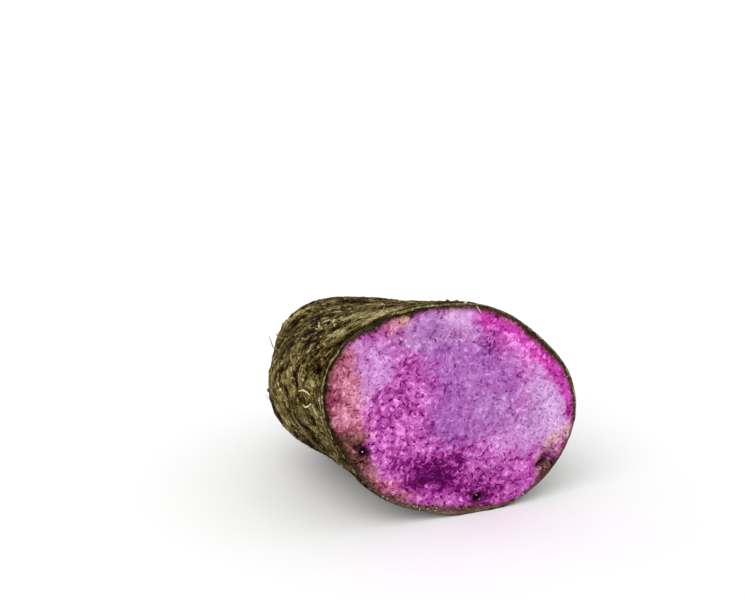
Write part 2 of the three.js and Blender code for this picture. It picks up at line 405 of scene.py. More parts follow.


# Marks on the flesh: name, and for each (u, v, radius across, radius up, turn, weight), with
# places as pixels of the frame, read off, and radii in mm.
BLOBS = {
    "lavender": (
        (428, 326, 7, 5, 0, 1.0), (412, 340, 4, 4, 0, 0.5), (462, 325, 7, 4.5, 0, 1.15), (474, 331, 3, 4, 0, 0.5),
        (372, 358, 5, 5, 20, 0.95), (382, 372, 4, 6, 0, 0.7), (366, 380, 3.4, 6, 0, 0.7), (360, 345, 3, 3, 0, 0.5),
        (547, 400, 6, 8, 8, 1.25), (542, 420, 6, 6, 20, 0.9), (530, 398, 4, 5, 0, 0.55), (528, 440, 8, 4, 12, 0.8),
        (500, 438, 5, 4, 0, 0.5), (515, 362, 4, 3, 0, 0.35), (540, 375, 3, 3, 0, 0.5), (362, 400, 2, 4, 0, 0.3),
    ),
    "violet": (
        (465, 362, 10, 9, 0, 0.9), (480, 412, 11, 8, 0, 0.9), (500, 380, 8, 7, 0, 0.75), (445, 340, 6, 6, 0, 0.7),
        (455, 412, 8, 8, 0, 0.7), (500, 428, 8, 4, 0, 0.5), (496, 462, 9, 5, 0, 0.4), (420, 350, 5, 4, 0, 0.35), (448, 432, 5, 3, 0, 0.5),
    ),
    "deep": (
        (488, 318, 4.2, 3.6, -20, 1.1), (505, 324, 5, 2.6, -32, 1.1), (529, 338, 6, 2.5, -42, 1.1),
        (547, 354, 5, 3.4, -52, 1.2), (558, 370, 5, 3.4, -66, 1.2), (540, 347, 4, 2.4, -45, 0.5), (568, 392, 1.9, 4, 12, 1.1), (571, 410, 1.5, 3.4, 2, 1.0),
        (525, 404, 4, 3.4, 0, 0.5), (510, 452, 5, 3, 0, 0.4), (380, 398, 4, 2, 0, 0.25),
    ),
    "hot": (
        (395, 422, 11, 9, 30, 0.9), (388, 450, 8, 7, 30, 0.9), (412, 395, 8, 8, 0, 0.7), (485, 460, 10, 6, 0, 0.9),
        (505, 480, 8, 5, 0, 0.8), (375, 410, 4, 5, 0, 0.5), (420, 505, 10, 2, 0, 0.6), (398, 350, 7, 6, 0, 0.6),
        (440, 455, 10, 5, 0, 0.8), (430, 372, 6, 6, 0, 0.5), (448, 388, 7, 2.4, 0, 0.8), (490, 348, 5, 4, -25, 0.7),
        (392, 375, 4, 6, 0, 0.4), (465, 500, 8, 3, 0, 0.7), (402, 468, 6, 5, 0, 0.7), (514, 374, 3.4, 2.6, 20, 0.6),
        (521, 408, 2.6, 3.4, 0, 0.5), (506, 400, 2.4, 2.4, 0, 0.45), (470, 388, 3, 2, 0, 0.5), (516, 424, 3, 2.6, 0, 0.5),
    ),
    "salmon": (
        (340, 372, 3.6, 6, 18, 1.1), (338, 395, 4.6, 8, 0, 1.2), (344, 420, 5, 8, -18, 1.1), (356, 438, 5, 4, -30, 0.8),
        (356, 350, 3, 3, 40, 0.5), (394, 322, 5, 3, 25, 0.9), (402, 335, 3, 3, 0, 0.3), (372, 478, 5, 3, -35, 0.7),
        (383, 487, 7, 3, -30, 0.6), (408, 497, 7, 2, -12, 0.5), (561, 436, 2.4, 4.0, -28, 0.5),
    ),
    "brown": (
        (349, 448, 3.6, 4.6, -40, 1.3), (361, 465, 3.6, 3.4, -40, 1.25), (343, 436, 2.4, 2.4, 0, 0.5), (565, 448, 1.2, 3, -34, 0.5), (555, 462, 2.6, 3.4, -50, 0.65),
        (542, 475, 2.8, 4, -45, 0.85), (543, 459, 3.0, 1.8, 22, 0.85), (376, 479, 5, 3, -35, 0.3), (385, 500, 12, 1.8, -28, 0.8), (425, 509, 14, 1.4, -8, 0.8), (402, 314, 5, 1.8, 25, 0.5),
        (334, 377, 1.4, 2.6, 0, 0.4),
    ),
    "cream": (
        (405, 316, 3.0, 2.2, 0, 0.95), (451, 311, 1.5, 2.2, 0, 0.45),
    ),
    # greyer lavender, and pale pinkish tan
    "ash": (
        (426, 330, 8, 6, 0, 0.9), (455, 334, 7, 5, 0, 0.7), (410, 340, 4, 4, 0, 0.5), (474, 326, 3.4, 4, 0, 0.5),
        (543, 401, 7, 8, 0, 1.2), (536, 424, 7, 5, 0, 0.8), (371, 362, 4, 4, 0, 0.3), (482, 414, 9, 7, 0, 0.45),
        (470, 372, 8, 6, 0, 0.35), (505, 405, 5, 5, 0, 0.3),
    ),
    "blush": (
        (559, 434, 3.4, 4.0, -30, 0.85), (549, 445, 3.4, 2.8, -40, 0.7), (567, 430, 1.5, 4, -25, 0.5), (538, 453, 2.6, 2.2, 0, 0.35),
    ),
    # lighter (+) and darker (-) places
    "shade": (
        (432, 477, 9.5, 4.8, 14, -0.9), (452, 486, 7, 5, -10, -0.9), (458, 455, 4.5, 3.4, 40, -0.6),
        (418, 470, 5, 3.6, 0, -0.6), (405, 452, 4.6, 3.4, 0, -0.2), (479, 498, 4.0, 3.2, 0, -1.0),
        (432, 330, 6, 4, 0, -0.6), (455, 338, 7, 3, 0, -0.35), (399, 391, 2.6, 2.6, 0, 0.45), (452, 313, 1.6, 2.8, 0, 1.1), (415, 345, 3, 3, 0, 0.2), (335, 396, 2.2, 2.6, 0, -0.5), (330, 408, 1.6, 2, 0, -0.4), (341, 404, 2, 2, 0, -0.4),
        (343, 414, 2.6, 2.4, 0, 0.6), (338, 368, 2, 2, 0, 0.4), (346, 392, 2.4, 3, 0, 0.4), (336, 421, 1.6, 2, 0, 0.4),
        (548, 385, 3, 3, 0, 0.4), (556, 412, 3, 4, 0, 0.5), (552, 426, 3, 2.4, 0, 0.8), (398, 446, 3, 3, 0, 0.3),
        (450, 388, 6, 2.2, 0, -0.3), (428, 384, 4, 2.4, 0, -0.2), (410, 372, 5, 5, 0, -0.1), (494, 460, 9, 6, 0, 0.36), (514, 474, 4, 4, 0, 0.2), (490, 350, 4.4, 3.4, 0, -0.6),
        (430, 428, 3, 3, 0, -0.4), (488, 472, 3, 2.4, 0, -0.45), (506, 478, 3, 2.4, 0, -0.45), (455, 420, 6, 5, 0, -0.25),
        (548, 461, 2.4, 2.4, 0, -0.5), (362, 453, 2.2, 1.8, 0, -0.6), (341, 376, 1.8, 2.4, 0, -0.7), (336, 402, 2, 3, 0, -0.35),
        (520, 348, 5, 4, -40, 0.8), (514, 340, 3.2, 2.4, 0, 0.4), (532, 362, 3.4, 3.4, 0, 0.6), (466, 320, 4, 3, 0, 0.7),
        (552, 396, 4, 6, 0, 0.5), (378, 372, 5, 4, 0, 0.35), (362, 402, 3, 3, 0, 0.6), (421, 400, 3, 2.4, 0, 0.5),
        (424, 445, 2.6, 2.6, 0, 0.5), (424, 495, 3, 2, 0, 0.75), (454, 502, 4.6, 1.7, 0, 0.75), (392, 320, 3.4, 2.2, 0, 0.4),
        (505, 440, 4, 3, 0, 0.4), (440, 505, 4, 1.4, 0, 0.3), (374, 468, 3, 3, 0, 0.3), (500, 320, 3, 3, 0, 0.3),
        (350, 400, 2.4, 5, 0, 0.35), (395, 440, 4, 4, 0, 0.2), (376, 474, 3, 2, 0, 0.3), (410, 430, 5, 5, 0, 0.15),
    ),
    # browner places of the skin's cut edge
    "rust": (
        (400, 505, 12, 3, -12, 1.0), (440, 514, 10, 3, 0, 1.0), (480, 514, 10, 3, 0, 1.0), (515, 502, 8, 3, 25, 1.0),
        (548, 475, 5, 6, -40, 1.0), (480, 303, 8, 3, -8, 0.6), (562, 448, 4, 6, -34, 1.0), (571, 432, 2.6, 7, -20, 1.0),
    ),
    "glint": (
        (386, 499, 2, 1.6, 0, 1.0), (398, 504, 3.4, 1.6, -20, 1.0), (416, 510, 3.4, 1.4, -8, 1.0), (434, 512, 3, 1.2, 0, 0.7),
        (521, 494, 2.0, 1.8, 0, 1.0), (468, 497, 2, 2, 0, 0.5), (576, 398, 1.3, 4.4, 0, 1.0), (571, 378, 1.3, 3.4, 10, 1.0),
    ),
}
SPECK_ZONES = (
    (549, 405, 7, 12, 0, 1.2), (375, 368, 8, 9, 0, 0.9), (510, 440, 12, 8, 0, 0.6), (343, 400, 5, 16, 0, 0.5),
    (440, 330, 14, 6, 0, 0.35), (480, 400, 14, 10, 0, 0.25), (535, 355, 6, 8, -40, 0.5),
)
PITS = (  # u, v, radius, depth, flattening, turn
    (363.5, 452.5, 1.15, 1.7, 1.0, 0), (478, 497.5, 1.35, 1.1, 1.35, 12), (471, 494, 0.4, 0.35, 1.3, 20),
    (541, 461.5, 0.85, 0.7, 2.8, 24), (537, 465, 0.45, 0.5, 1.6, 60), (389, 498, 0.4, 0.4, 1, 0),
    (376, 331, 0.5, 0.4, 1.4, 20), (412, 317, 0.35, 0.35, 1, 0),
)


def blob_mask(x, z, rows, warp):
    out = np.zeros(len(x))
    for u, v, rx, rz, turn, weight in rows:
        cx, cz = on_cut(u, v)
        c, n = math.cos(math.radians(turn)), math.sin(math.radians(turn))
        dx, dz = x + warp[0] - cx, z + warp[1] - cz
        out += weight * np.exp(-0.5 * (((dx * c + dz * n) / rx) ** 2 + ((-dx * n + dz * c) / rz) ** 2) * 1.6)
    return out


def cell_noise(x, z, size, seed):
    """Distance to the nearest and next nearest of one random point a cell, in cells, and the
    nearest point's own number."""
    u, v = x / size, z / size
    iu, iv = np.floor(u).astype(np.int64), np.floor(v).astype(np.int64)
    best = np.full(len(x), 9.0)
    second = np.full(len(x), 9.0)
    own = np.zeros(len(x))
    for du in (-1, 0, 1):
        for dv in (-1, 0, 1):
            h = _hash(iu + du, iv + dv, iu * 0, seed)
            px = iu + du + ((h & 1023) / 1023.0)
            pz = iv + dv + (((h >> 10) & 1023) / 1023.0)
            d = np.hypot(u - px, v - pz)
            closer = d < best
            second = np.where(closer, best, np.minimum(second, d))
            own = np.where(closer, ((h >> 20) & 1023) / 1023.0, own)
            best = np.where(closer, d, best)
    return best, second, own


def lumps(x, z):
    """The wet granules of the cut flesh: about 1 on a pale lump and -1 in a dark hollow."""
    p = np.stack([x, z, 0 * x], 1)
    wx = x + 1.1 * noise(p / 2.8, 311) + 0.4 * noise(p / 1.2, 312)
    wz = z + 1.1 * noise(p / 2.8, 313) + 0.4 * noise(p / 1.2, 314)
    w = np.stack([wx, wz, 0 * x], 1)

    def turned(deg, long, short):
        c, n = math.cos(math.radians(deg)), math.sin(math.radians(deg))
        return np.stack([(wx * c + wz * n) / long, (-wx * n + wz * c) / short, 0 * x], 1)

    pick = ease(noise(p / 3.3, 315), -0.15, 0.15)
    short = noise(turned(38, 2.0, 0.95), 316) * (1 - pick) + noise(turned(-42, 2.1, 0.95), 317) * pick
    f1, f2, own = cell_noise(wx, wz, 2.5, 11)
    out = 0.42 * noise(w / 2.3, 318) / 0.3 + 0.42 * short / 0.3 + 0.25 * (0.42 - f1) / 0.18 + 0.5 * (own - 0.5) / 0.29
    return out / 0.93


def face_depth(x, z, d, a):
    """How far the cut face lies behind (+) its plane, in mm."""
    p = np.stack([x, z, 0 * x], 1)
    wl, wg = lip_width(a), groove_width(a)
    knife = 0.16 * noise(p / 16.0, 81) + 0.05 * noise(p / [9.0, 3.0, 1.0], 82)
    flesh = 0.18 + knife - 0.085 * np.clip(lumps(x, z), -2, 2) - 0.04 * noise(p / 0.8, 85)
    for u, v, r, depth, flat, turn in PITS:
        cx, cz = on_cut(u, v)
        c, n = math.cos(math.radians(turn)), math.sin(math.radians(turn))
        dx, dz = x - cx, z - cz
        q = np.hypot((dx * c + dz * n) / (r * math.sqrt(flat)), (-dx * n + dz * c) / (r / math.sqrt(flat)))
        flesh = flesh + depth * np.exp(-(q**4) * 0.9) - 0.12 * np.exp(-(((q - 1.5) / 0.4) ** 2))
    lip = -0.02 + 0.14 * noise(p / 1.6, 86) + 0.08 * noise(p / 0.7, 89)
    groove = 0.14 + 0.5 * np.clip(wg, 0, 1.1) * (1 - rim_value(a, 4))
    k1 = ease(d, wl - 0.12, wl + 0.25)
    k2 = ease(d, wl + wg - 0.3, wl + wg + 0.4)
    y = lip * (1 - k1) + groove * k1
    return y * (1 - k2) + flesh * k2


# =========================================================================================
# Places on the skin that are known by where they show
# =========================================================================================
def find_on_skin():
    """A function from pixels of the frame to (a, t) of the skin that shows there."""
    na, nt = 300, 170
    a, t = np.meshgrid(np.arange(na) / na * 2 * np.pi, np.linspace(0, 0.98, nt))
    a, t = a.ravel(), t.ravel()
    p, n, _, _ = skin_frame(a, t)
    right, up, back = camera_axes()
    rel = p - CAM_LOC
    z = -(rel @ back)
    f = LENS / SENSOR * WIDE
    u, v = WIDE / 2 + f * (rel @ right) / z, HIGH / 2 - f * (rel @ up) / z
    faces = (n * rel).sum(1) / np.linalg.norm(rel, axis=1) < -0.02
    a, t, u, v = a[faces], t[faces], u[faces], v[faces]

    def find(pu, pv):
        d = (u - pu) ** 2 + (v - pv) ** 2
        near = np.argsort(d)[:4]
        w = 1 / (d[near] + 0.05)
        c = (np.exp(1j * a[near]) * w).sum()
        return float(np.angle(c) % (2 * np.pi)), float((t[near] * w).sum() / w.sum())

    return find


# Lighter and darker places of the skin: pixels of the frame, radius in mm, weight. Most are the bark's
# own paler and darker patches; the lighter rows along the left outline paint a sheen on that edge, and
# the darker rows along the top edge and the lower left edge are painted shade.
PALE_AND_LIT_AT = (
    (294, 316, 2.2, 1.1), (300, 311, 2.6, 0.9), (309, 307, 2.8, 0.7), (334, 304, 2.4, 0.35), (341, 329, 3.2, 0.8),
    (380, 314, 3.6, 1.1), (370, 317, 3.2, 0.9), (358, 308, 2.6, 0.6), (352, 318, 2.6, 0.8), (346, 318, 2.0, 0.6),
    (292, 350, 2.4, 0.35), (296, 324, 2.0, 0.4), (287, 322, 1.4, 0.5), (305, 333, 2.0, 0.4), (337, 337, 2.6, 0.6),
    (283, 376, 2.0, 0.55), (287, 402, 3.4, 0.6), (299, 406, 3.0, 0.4), (284, 420, 1.8, 0.7), (314, 427, 1.6, 0.7),
    (322, 436, 2.4, 0.3), (290, 410, 3.0, 0.4), (330, 448, 1.8, 0.4), (327, 330, 2.6, 0.5), (323, 430, 1.4, 0.5),
    # these rows, with (276, 408) below, paint a light sheen along the left outline
    (271, 350, 1.2, 0.9), (270, 362, 1.2, 1.0), (269.5, 375, 1.2, 1.0), (270, 388, 1.2, 1.0), (272, 400, 1.2, 0.8),
    (280, 416, 1.4, 0.7), (288, 426, 1.4, 0.6), (290, 322, 1.6, 0.6),
    (395, 309, 2.4, 0.6), (276, 408, 1.6, 0.6), (305, 420, 2.4, 0.3), (330, 355, 1.6, 0.3), (302, 330, 2.0, 0.35),
)
# the rows along the top edge and along the lower left edge are painted shade; the others are darker bark
DARK_AND_SHADED_AT = (
    (314, 323, 1.8, 1.8), (311, 331, 2.0, 1.4), (308, 344, 2.6, 0.9), (344, 308, 2.2, 1.3), (350, 309, 1.6, 0.9),
    (295, 375, 1.8, 1.2), (297, 384, 1.6, 1.0), (286, 389, 1.0, 2.4), (314, 362, 3.0, 0.8), (316, 373, 2.4, 0.8),
    (320, 386, 1.5, 0.8), (278, 345, 1.6, 0.7), (276, 360, 1.6, 0.6), (283, 385, 1.4, 0.5), (312, 390, 2.0, 0.4),
    (304, 440, 2.6, 1.5), (317, 451, 2.8, 1.8), (329, 459, 2.6, 1.7), (342, 467, 2.2, 1.2), (352, 472, 2.0, 1.0),
    (314, 437, 2.2, 0.6), (326, 352, 1.8, 0.6), (317, 345, 2.4, 0.5), (360, 301, 2.6, 0.8), (378, 301, 2.4, 0.8),
    (345, 300, 2.2, 0.6), (305, 358, 2.4, 0.4), (274, 395, 1.4, 0.6), (299, 396, 1.2, 0.6), (330, 345, 1.2, 0.6),
    (308, 371, 1.6, 0.4), (296, 435, 2.0, 0.6), (321, 372, 1.6, 0.5), (322, 310, 1.6, 0.4), (400, 302, 2.2, 0.7),
)
# Ridges and crevices: pixels of the frame, half width in pixels, weight.
LINES_AT = (
    (((283, 341), (287, 335.5), (292, 331), (297, 326), (301.5, 321.5)), 1.7, 0.9),
    (((291.5, 336.5), (295, 332), (299, 328), (303.5, 321.5)), 0.9, -0.95),
    (((277, 349), (273.6, 355), (271.8, 365), (271, 375), (271, 385), (272, 392)), 1.5, 0.75),
    (((276, 352), (275.5, 360), (275, 372), (275, 384)), 1.0, -0.55), (((271.5, 394), (272.5, 401)), 1.1, -0.6),
    (((275, 405), (279, 412), (283, 418), (288, 425), (295, 433), (302, 438.5)), 1.6, 0.65),
    (((282.5, 361), (284, 367), (287, 373), (291, 379.5), (296, 389)), 0.9, 0.6),
    (((287, 362), (284, 365)), 0.9, 0.5), (((293, 349), (294, 343), (297, 339), (303, 337.5)), 1.1, 0.6),
    (((291, 318), (295, 314), (301, 310), (307, 307), (314, 304.5)), 2.0, 0.5),
    (((299, 317), (303, 313.5), (306, 311)), 1.1, 0.5), (((312.5, 339), (317, 335.5), (322.5, 332.5)), 1.3, 0.55),
    (((330, 341.5), (336, 339.5)), 1.5, 0.5), (((320, 343), (322.5, 341), (326, 343), (326, 346.5), (322.5, 347.5)), 0.7, 0.6),
    (((300.5, 351), (301.5, 361), (302.5, 371), (300.5, 378)), 0.8, 0.5), (((295, 349), (296.5, 354)), 0.9, 0.6),
    (((311, 352.5), (314, 356), (319, 355.5)), 0.7, 0.6), (((310, 360), (306, 366), (310, 371)), 0.7, 0.4),
    (((322, 399), (325, 411), (329, 425), (332.5, 440), (335, 449)), 0.8, 0.6),
    (((320, 404), (322, 414), (323.5, 425), (325, 433)), 0.8, 0.5), (((312, 412), (316, 419), (319.5, 426)), 0.9, 0.65),
    (((311, 420), (314, 427), (316, 432)), 1.6, 0.6), (((322, 440), (327, 447), (332, 454), (338, 460)), 0.8, 0.7),
    (((324, 437), (329, 444), (334, 451), (339, 457)), 0.7, 0.5), (((317, 433), (322, 441), (327, 449), (333, 457)), 0.7, 0.55),
    (((342, 462), (348, 468), (353, 475)), 0.9, 0.5), (((290, 421), (294, 425), (297.5, 428.5)), 1.0, 0.6),
    (((345, 317), (351, 313), (356, 308)), 1.2, 0.5), (((350, 306), (362, 303.5), (375, 302.5), (386, 305)), 1.0, 0.5),
    (((368, 315), (377, 313), (386, 309)), 2.2, 0.5), (((352, 325), (362, 321), (372, 318.5), (385, 315)), 1.1, 0.5),
    (((339, 332), (346, 327), (355, 321)), 1.3, 0.5), (((341, 316), (344, 322)), 1.6, 0.5),
    (((279, 376), (283, 373), (288, 377)), 1.1, 0.5), (((279, 381), (284, 380), (290, 384)), 1.2, 0.4),
    (((345, 299.5), (360, 299), (380, 299), (396, 300)), 0.8, 0.5), (((350, 302.3), (370, 301.5), (392, 303)), 1.0, -0.6),
    (((307, 312.5), (311, 311), (315.5, 312)), 0.9, -0.8), (((312, 322), (316, 322), (318, 325)), 2.6, -0.9),
    (((307, 329), (312, 332), (318, 329.5)), 1.2, -0.95), (((300, 341), (306, 342), (312, 341)), 1.0, -0.6),
    (((315.5, 341), (319, 344.5)), 1.2, -0.9), (((330.5, 344.5), (329, 350)), 1.3, -0.9),
    (((282, 356), (280.5, 360), (280, 364)), 0.8, -0.8), (((288, 344.5), (289, 350.5)), 0.9, -0.8),
    (((322, 360), (319.5, 369), (319, 378)), 1.3, -0.7), (((326, 357), (322, 363)), 0.8, -0.8),
    (((333.5, 352), (338, 345.5), (344, 339)), 0.8, -0.95), (((292.5, 370), (296, 377), (298, 386)), 2.0, -0.9),
    (((285, 386.5), (287, 391)), 1.8, -1.1), (((320, 384), (320.5, 392)), 1.1, -0.9),
    (((317, 400), (319, 412), (321.5, 424)), 0.8, -0.8), (((286.5, 424), (292, 428), (298, 431.5)), 1.0, -0.85),
    (((300.5, 424), (306, 427), (310.5, 429.5)), 0.8, -0.9), (((309, 415), (311, 419.5)), 1.1, -0.9),
    (((314.5, 424), (318.5, 425)), 0.9, -0.9), (((320, 427), (321.5, 431)), 1.0, -0.9),
    (((292.5, 413), (293.6, 414.5)), 1.2, -0.9), (((293.5, 403), (295, 404)), 1.1, -0.7),
    (((286, 410), (289, 416), (292.5, 421)), 0.8, -0.55), (((301, 441), (310, 445), (320, 450), (330, 457), (341, 464)), 1.8, -0.7),
    (((328, 446), (332, 450.5), (336.5, 456)), 0.7, -0.95), (((332.5, 328.5), (338, 327)), 0.8, -0.7),
    (((336, 331), (341.5, 331.5)), 0.7, -0.7), (((329, 336), (330.5, 338.5)), 0.9, -0.7),
    (((321, 326), (326, 323.5), (331, 321.5)), 0.9, -0.8), (((310, 335), (311, 339)), 1.0, -0.8),
    (((298, 366), (299, 373)), 0.9, -0.8), (((308, 367), (304, 370.5)), 0.8, -0.5), (((341, 309), (347, 310), (353, 307)), 1.8, -0.9),
    (((276, 397), (278, 404), (283, 411)), 0.8, -0.4), (((352, 316), (357, 314), (361, 314)), 0.7, -0.6),
    (((361, 312), (366, 309.5)), 0.7, -0.6), (((388, 309), (392, 312)), 0.9, -0.6), (((365, 322), (372, 321)), 0.7, -0.6),
    (((323, 334), (327, 332)), 0.8, -0.6), (((301, 388), (304, 384), (302, 381)), 0.8, -0.6), (((305, 375), (309, 379)), 0.8, -0.5),
)
_find = find_on_skin()


def _place(rows):
    at = np.array([_find(u, v) for u, v, _, _ in rows])
    p = skin_frame(at[:, 0], at[:, 1])[0]
    return p, np.array([r[2] for r in rows]), np.array([r[3] for r in rows])


_PALE_AND_LIT, _DARK_AND_SHADED = _place(PALE_AND_LIT_AT), _place(DARK_AND_SHADED_AT)


def in_view(p, n):
    """1 for points of the skin in the part of the frame where marks were read off."""
    right, up, back = camera_axes()
    rel = p - CAM_LOC
    f = LENS / SENSOR * WIDE / -(rel @ back)
    u, v = WIDE / 2 + f * (rel @ right), HIGH / 2 - f * (rel @ up)
    on = ease(u, 262, 272) * (1 - ease(u, 345 + 60 * (v < 325), 360 + 60 * (v < 325))) * ease(v, 292, 300) * (1 - ease(v, 465, 485))
    return on * ((n * rel).sum(1) < 0)


def lay_lines():
    """The ridges and crevices read off, then others like them all over the skin."""
    for pix, w, weight in LINES_AT:
        at = np.array([_find(u, v) for u, v in pix])
        LINES.append((skin_frame(at[:, 0], at[:, 1])[0], w / 3.2 + 0.1, weight * 1.05))
    gen = np.random.default_rng(909)
    count, steps, ds = 520, 14, 0.75
    a = gen.uniform(0, 2 * np.pi, count)
    t = np.interp(gen.uniform(0, 1, count), [0, 0.62, 0.9, 1.0], [0.01, 0.4, 0.7, 0.98])
    p = base(a, to_s(t))
    turn = flow_of(a, to_s(t), p) * (np.pi / 2) * gen.choice([1, -1], count) + gen.normal(0, 0.35, count)
    turn = turn + np.pi * gen.integers(0, 2, count)
    curl = gen.normal(0, 0.08, count)
    path, side = [], []
    for _ in range(steps):
        q, n, pa, pt = skin_frame(a, t)
        path.append(q)
        if not side:
            first = n
        la, lt = np.linalg.norm(pa, axis=1) + 1e-6, np.linalg.norm(pt, axis=1) + 1e-6
        go = pa / la[:, None] * np.cos(turn)[:, None] + pt / lt[:, None] * np.sin(turn)[:, None]
        side.append(np.cross(n, go))
        curl = (curl + gen.normal(0, 0.07, count)) * 0.92
        turn = turn + curl
        a = a + ds * np.cos(turn) / la
        t = np.clip(t + ds * np.sin(turn) / lt, 0.004, 0.985)
    path, side = np.stack(path, 1), np.stack(side, 1)
    seen = in_view(path[:, 0], first) > 0.5
    for i in range(count):
        roll = gen.uniform(0, 1, 5)
        if seen[i] and roll[0] < 0.5:
            continue
        m = int(2 + roll[1] ** 1.6 * (steps - 3) * (0.6 if seen[i] else 1.0))
        w = 0.22 + 0.26 * roll[2]
        if roll[3] < 0.45:  # a ridge, often with a crevice beside it
            LINES.append((path[i, : m + 1 : 1], w, 0.45 + 0.4 * roll[4]))
            if roll[4] < 0.7:
                LINES.append((path[i, : m + 1] + side[i, : m + 1] * (w + 0.32), 0.26, -0.8))
        elif roll[3] < 0.85:
            LINES.append((path[i, : m + 1], 0.75 * w + 0.05, -0.6 - 0.4 * roll[4]))
        else:
            LINES.append((path[i, :2], 0.35 + 0.5 * roll[4], -0.9))


lay_lines()


# Smoother (+) and more crumbly (-) places: pixels of the frame, radius in mm, weight.
_SMOOTH = _place((
    (290, 405, 3.6, 0.9), (300, 412, 3.4, 0.8), (283, 412, 2.6, 0.7), (305, 447, 3.4, 0.9), (322, 456, 3.4, 0.9),
    (336, 464, 2.6, 0.7), (316, 372, 3.0, 0.6), (273, 380, 2.4, 0.5), (318, 330, 4.0, -0.8), (330, 340, 3.0, -0.6),
    (293, 368, 3.0, -0.5), (352, 312, 3.0, -0.5), (285, 350, 2.6, -0.3),
))


def smoothness(p):
    v = np.zeros(len(p))
    for c, r, w in zip(*_SMOOTH):
        v += w * np.exp(-0.8 * ((p - c) ** 2).sum(1) / r**2)
    return np.clip(v, -1, 1)


def patches(p):
    """How much lighter, and how much darker, the bark is at these points: partly its own paler and darker patches,
    partly painted light and shade (lighter towards the top, darker towards the bottom, ridges lit and crevices shaded,
    and the marked rows of the tables).
    """
    shake = np.stack([noise(p / 2.2, 321), noise(p / 2.2, 322), noise(p / 2.2, 323)], 1) * 0.9
    q = p + shake
    out = []
    for at, r, w in (_PALE_AND_LIT, _DARK_AND_SHADED):
        v = np.zeros(len(p))
        for c, rr, ww in zip(at, r, w):
            v += ww * np.exp(-0.8 * ((q - c) ** 2).sum(1) / rr**2)
        out.append(np.clip(v, 0, 1.5))
    line = lines(p + 0.35 * np.stack([noise(p / 1.6, 331), noise(p / 1.6, 332), noise(p / 1.6, 333)], 1))
    # painted shade darker towards the bottom, painted light lighter towards the top, and ridges painted lighter and
    # crevices painted darker
    painted_low_shade = np.clip((26.0 - p[:, 2]) / 26.0, 0, 1)
    pale = out[0] + 0.35 * np.clip((p[:, 2] - 44.0) / 22.0, 0, 1) + 1.3 * np.clip(line, 0, 1.4)
    return pale, out[1] + 0.55 * painted_low_shade + 1.35 * np.clip(-line, 0, 1.5)


# =========================================================================================
# Meshes
# =========================================================================================
def stitch(i0, ang0, i1, ang1, inward=False):
    """Triangles between a ring of points from index i0, at rising angles ang0, and the next ring
    from i1 at ang1."""
    n0, n1 = len(ang0), len(ang1)
    key = np.concatenate([np.r_[ang0[1:], ang0[0] + 2 * np.pi], np.r_[ang1[1:], ang1[0] + 2 * np.pi] - 1e-9])
    kind = np.r_[np.zeros(n0, int), np.ones(n1, int)]
    kind = kind[np.argsort(key, kind="stable")]
    ca = np.cumsum(kind == 0) - (kind == 0)
    cb = np.cumsum(kind == 1) - (kind == 1)
    a, a2 = i0 + ca % n0, i0 + (ca + 1) % n0
    b, b2 = i1 + cb % n1, i1 + (cb + 1) % n1
    first = np.stack([a, b, a2], 1)
    other = np.stack([a, b, b2], 1)
    tri = np.where(kind[:, None] == 0, first, other)
    return tri[:, ::-1] if inward else tri


def _crowding():
    """Angles whose spacing is closer from the top round the left to the bottom."""
    a = np.linspace(0, 2 * np.pi, 3601)
    deg = np.degrees(a)
    dense = ease(deg, 55, 90) * (1 - ease(deg, 235, 275))
    rho = 0.72 + 0.75 * dense
    run = np.r_[0, np.cumsum(0.5 * (rho[1:] + rho[:-1]))]
    return run / run[-1], a


_SHARE, _ANGLE = _crowding()


def ring_angles(n):
    return np.interp(np.arange(n) / n, _SHARE, _ANGLE)


def make_mesh(name, points, tris, attrs, materials, slots=None, smooth=True):
    me = bpy.data.meshes.new(name)
    me.vertices.add(len(points))
    me.vertices.foreach_set("co", (np.asarray(points) * MM).astype(np.float32).ravel())
    me.loops.add(len(tris) * 3)
    me.loops.foreach_set("vertex_index", np.asarray(tris).astype(np.int32).ravel())
    me.polygons.add(len(tris))
    me.polygons.foreach_set("loop_start", (np.arange(len(tris)) * 3).astype(np.int32))
    if slots is not None:
        me.polygons.foreach_set("material_index", slots.astype(np.int32))
    me.polygons.foreach_set("use_smooth", np.full(len(tris), smooth))
    me.update(calc_edges=True)
    for key, val in attrs.items():
        layer = me.attributes.new(key, "FLOAT", "POINT")
        layer.data.foreach_set("value", np.asarray(val).astype(np.float32))
    for m in materials:
        me.materials.append(m)
    me.validate()
    o = bpy.data.objects.new(name, me)
    bpy.context.scene.collection.objects.link(o)
    return o


SKIN_STEP, FACE_STEP = 0.55, 0.4


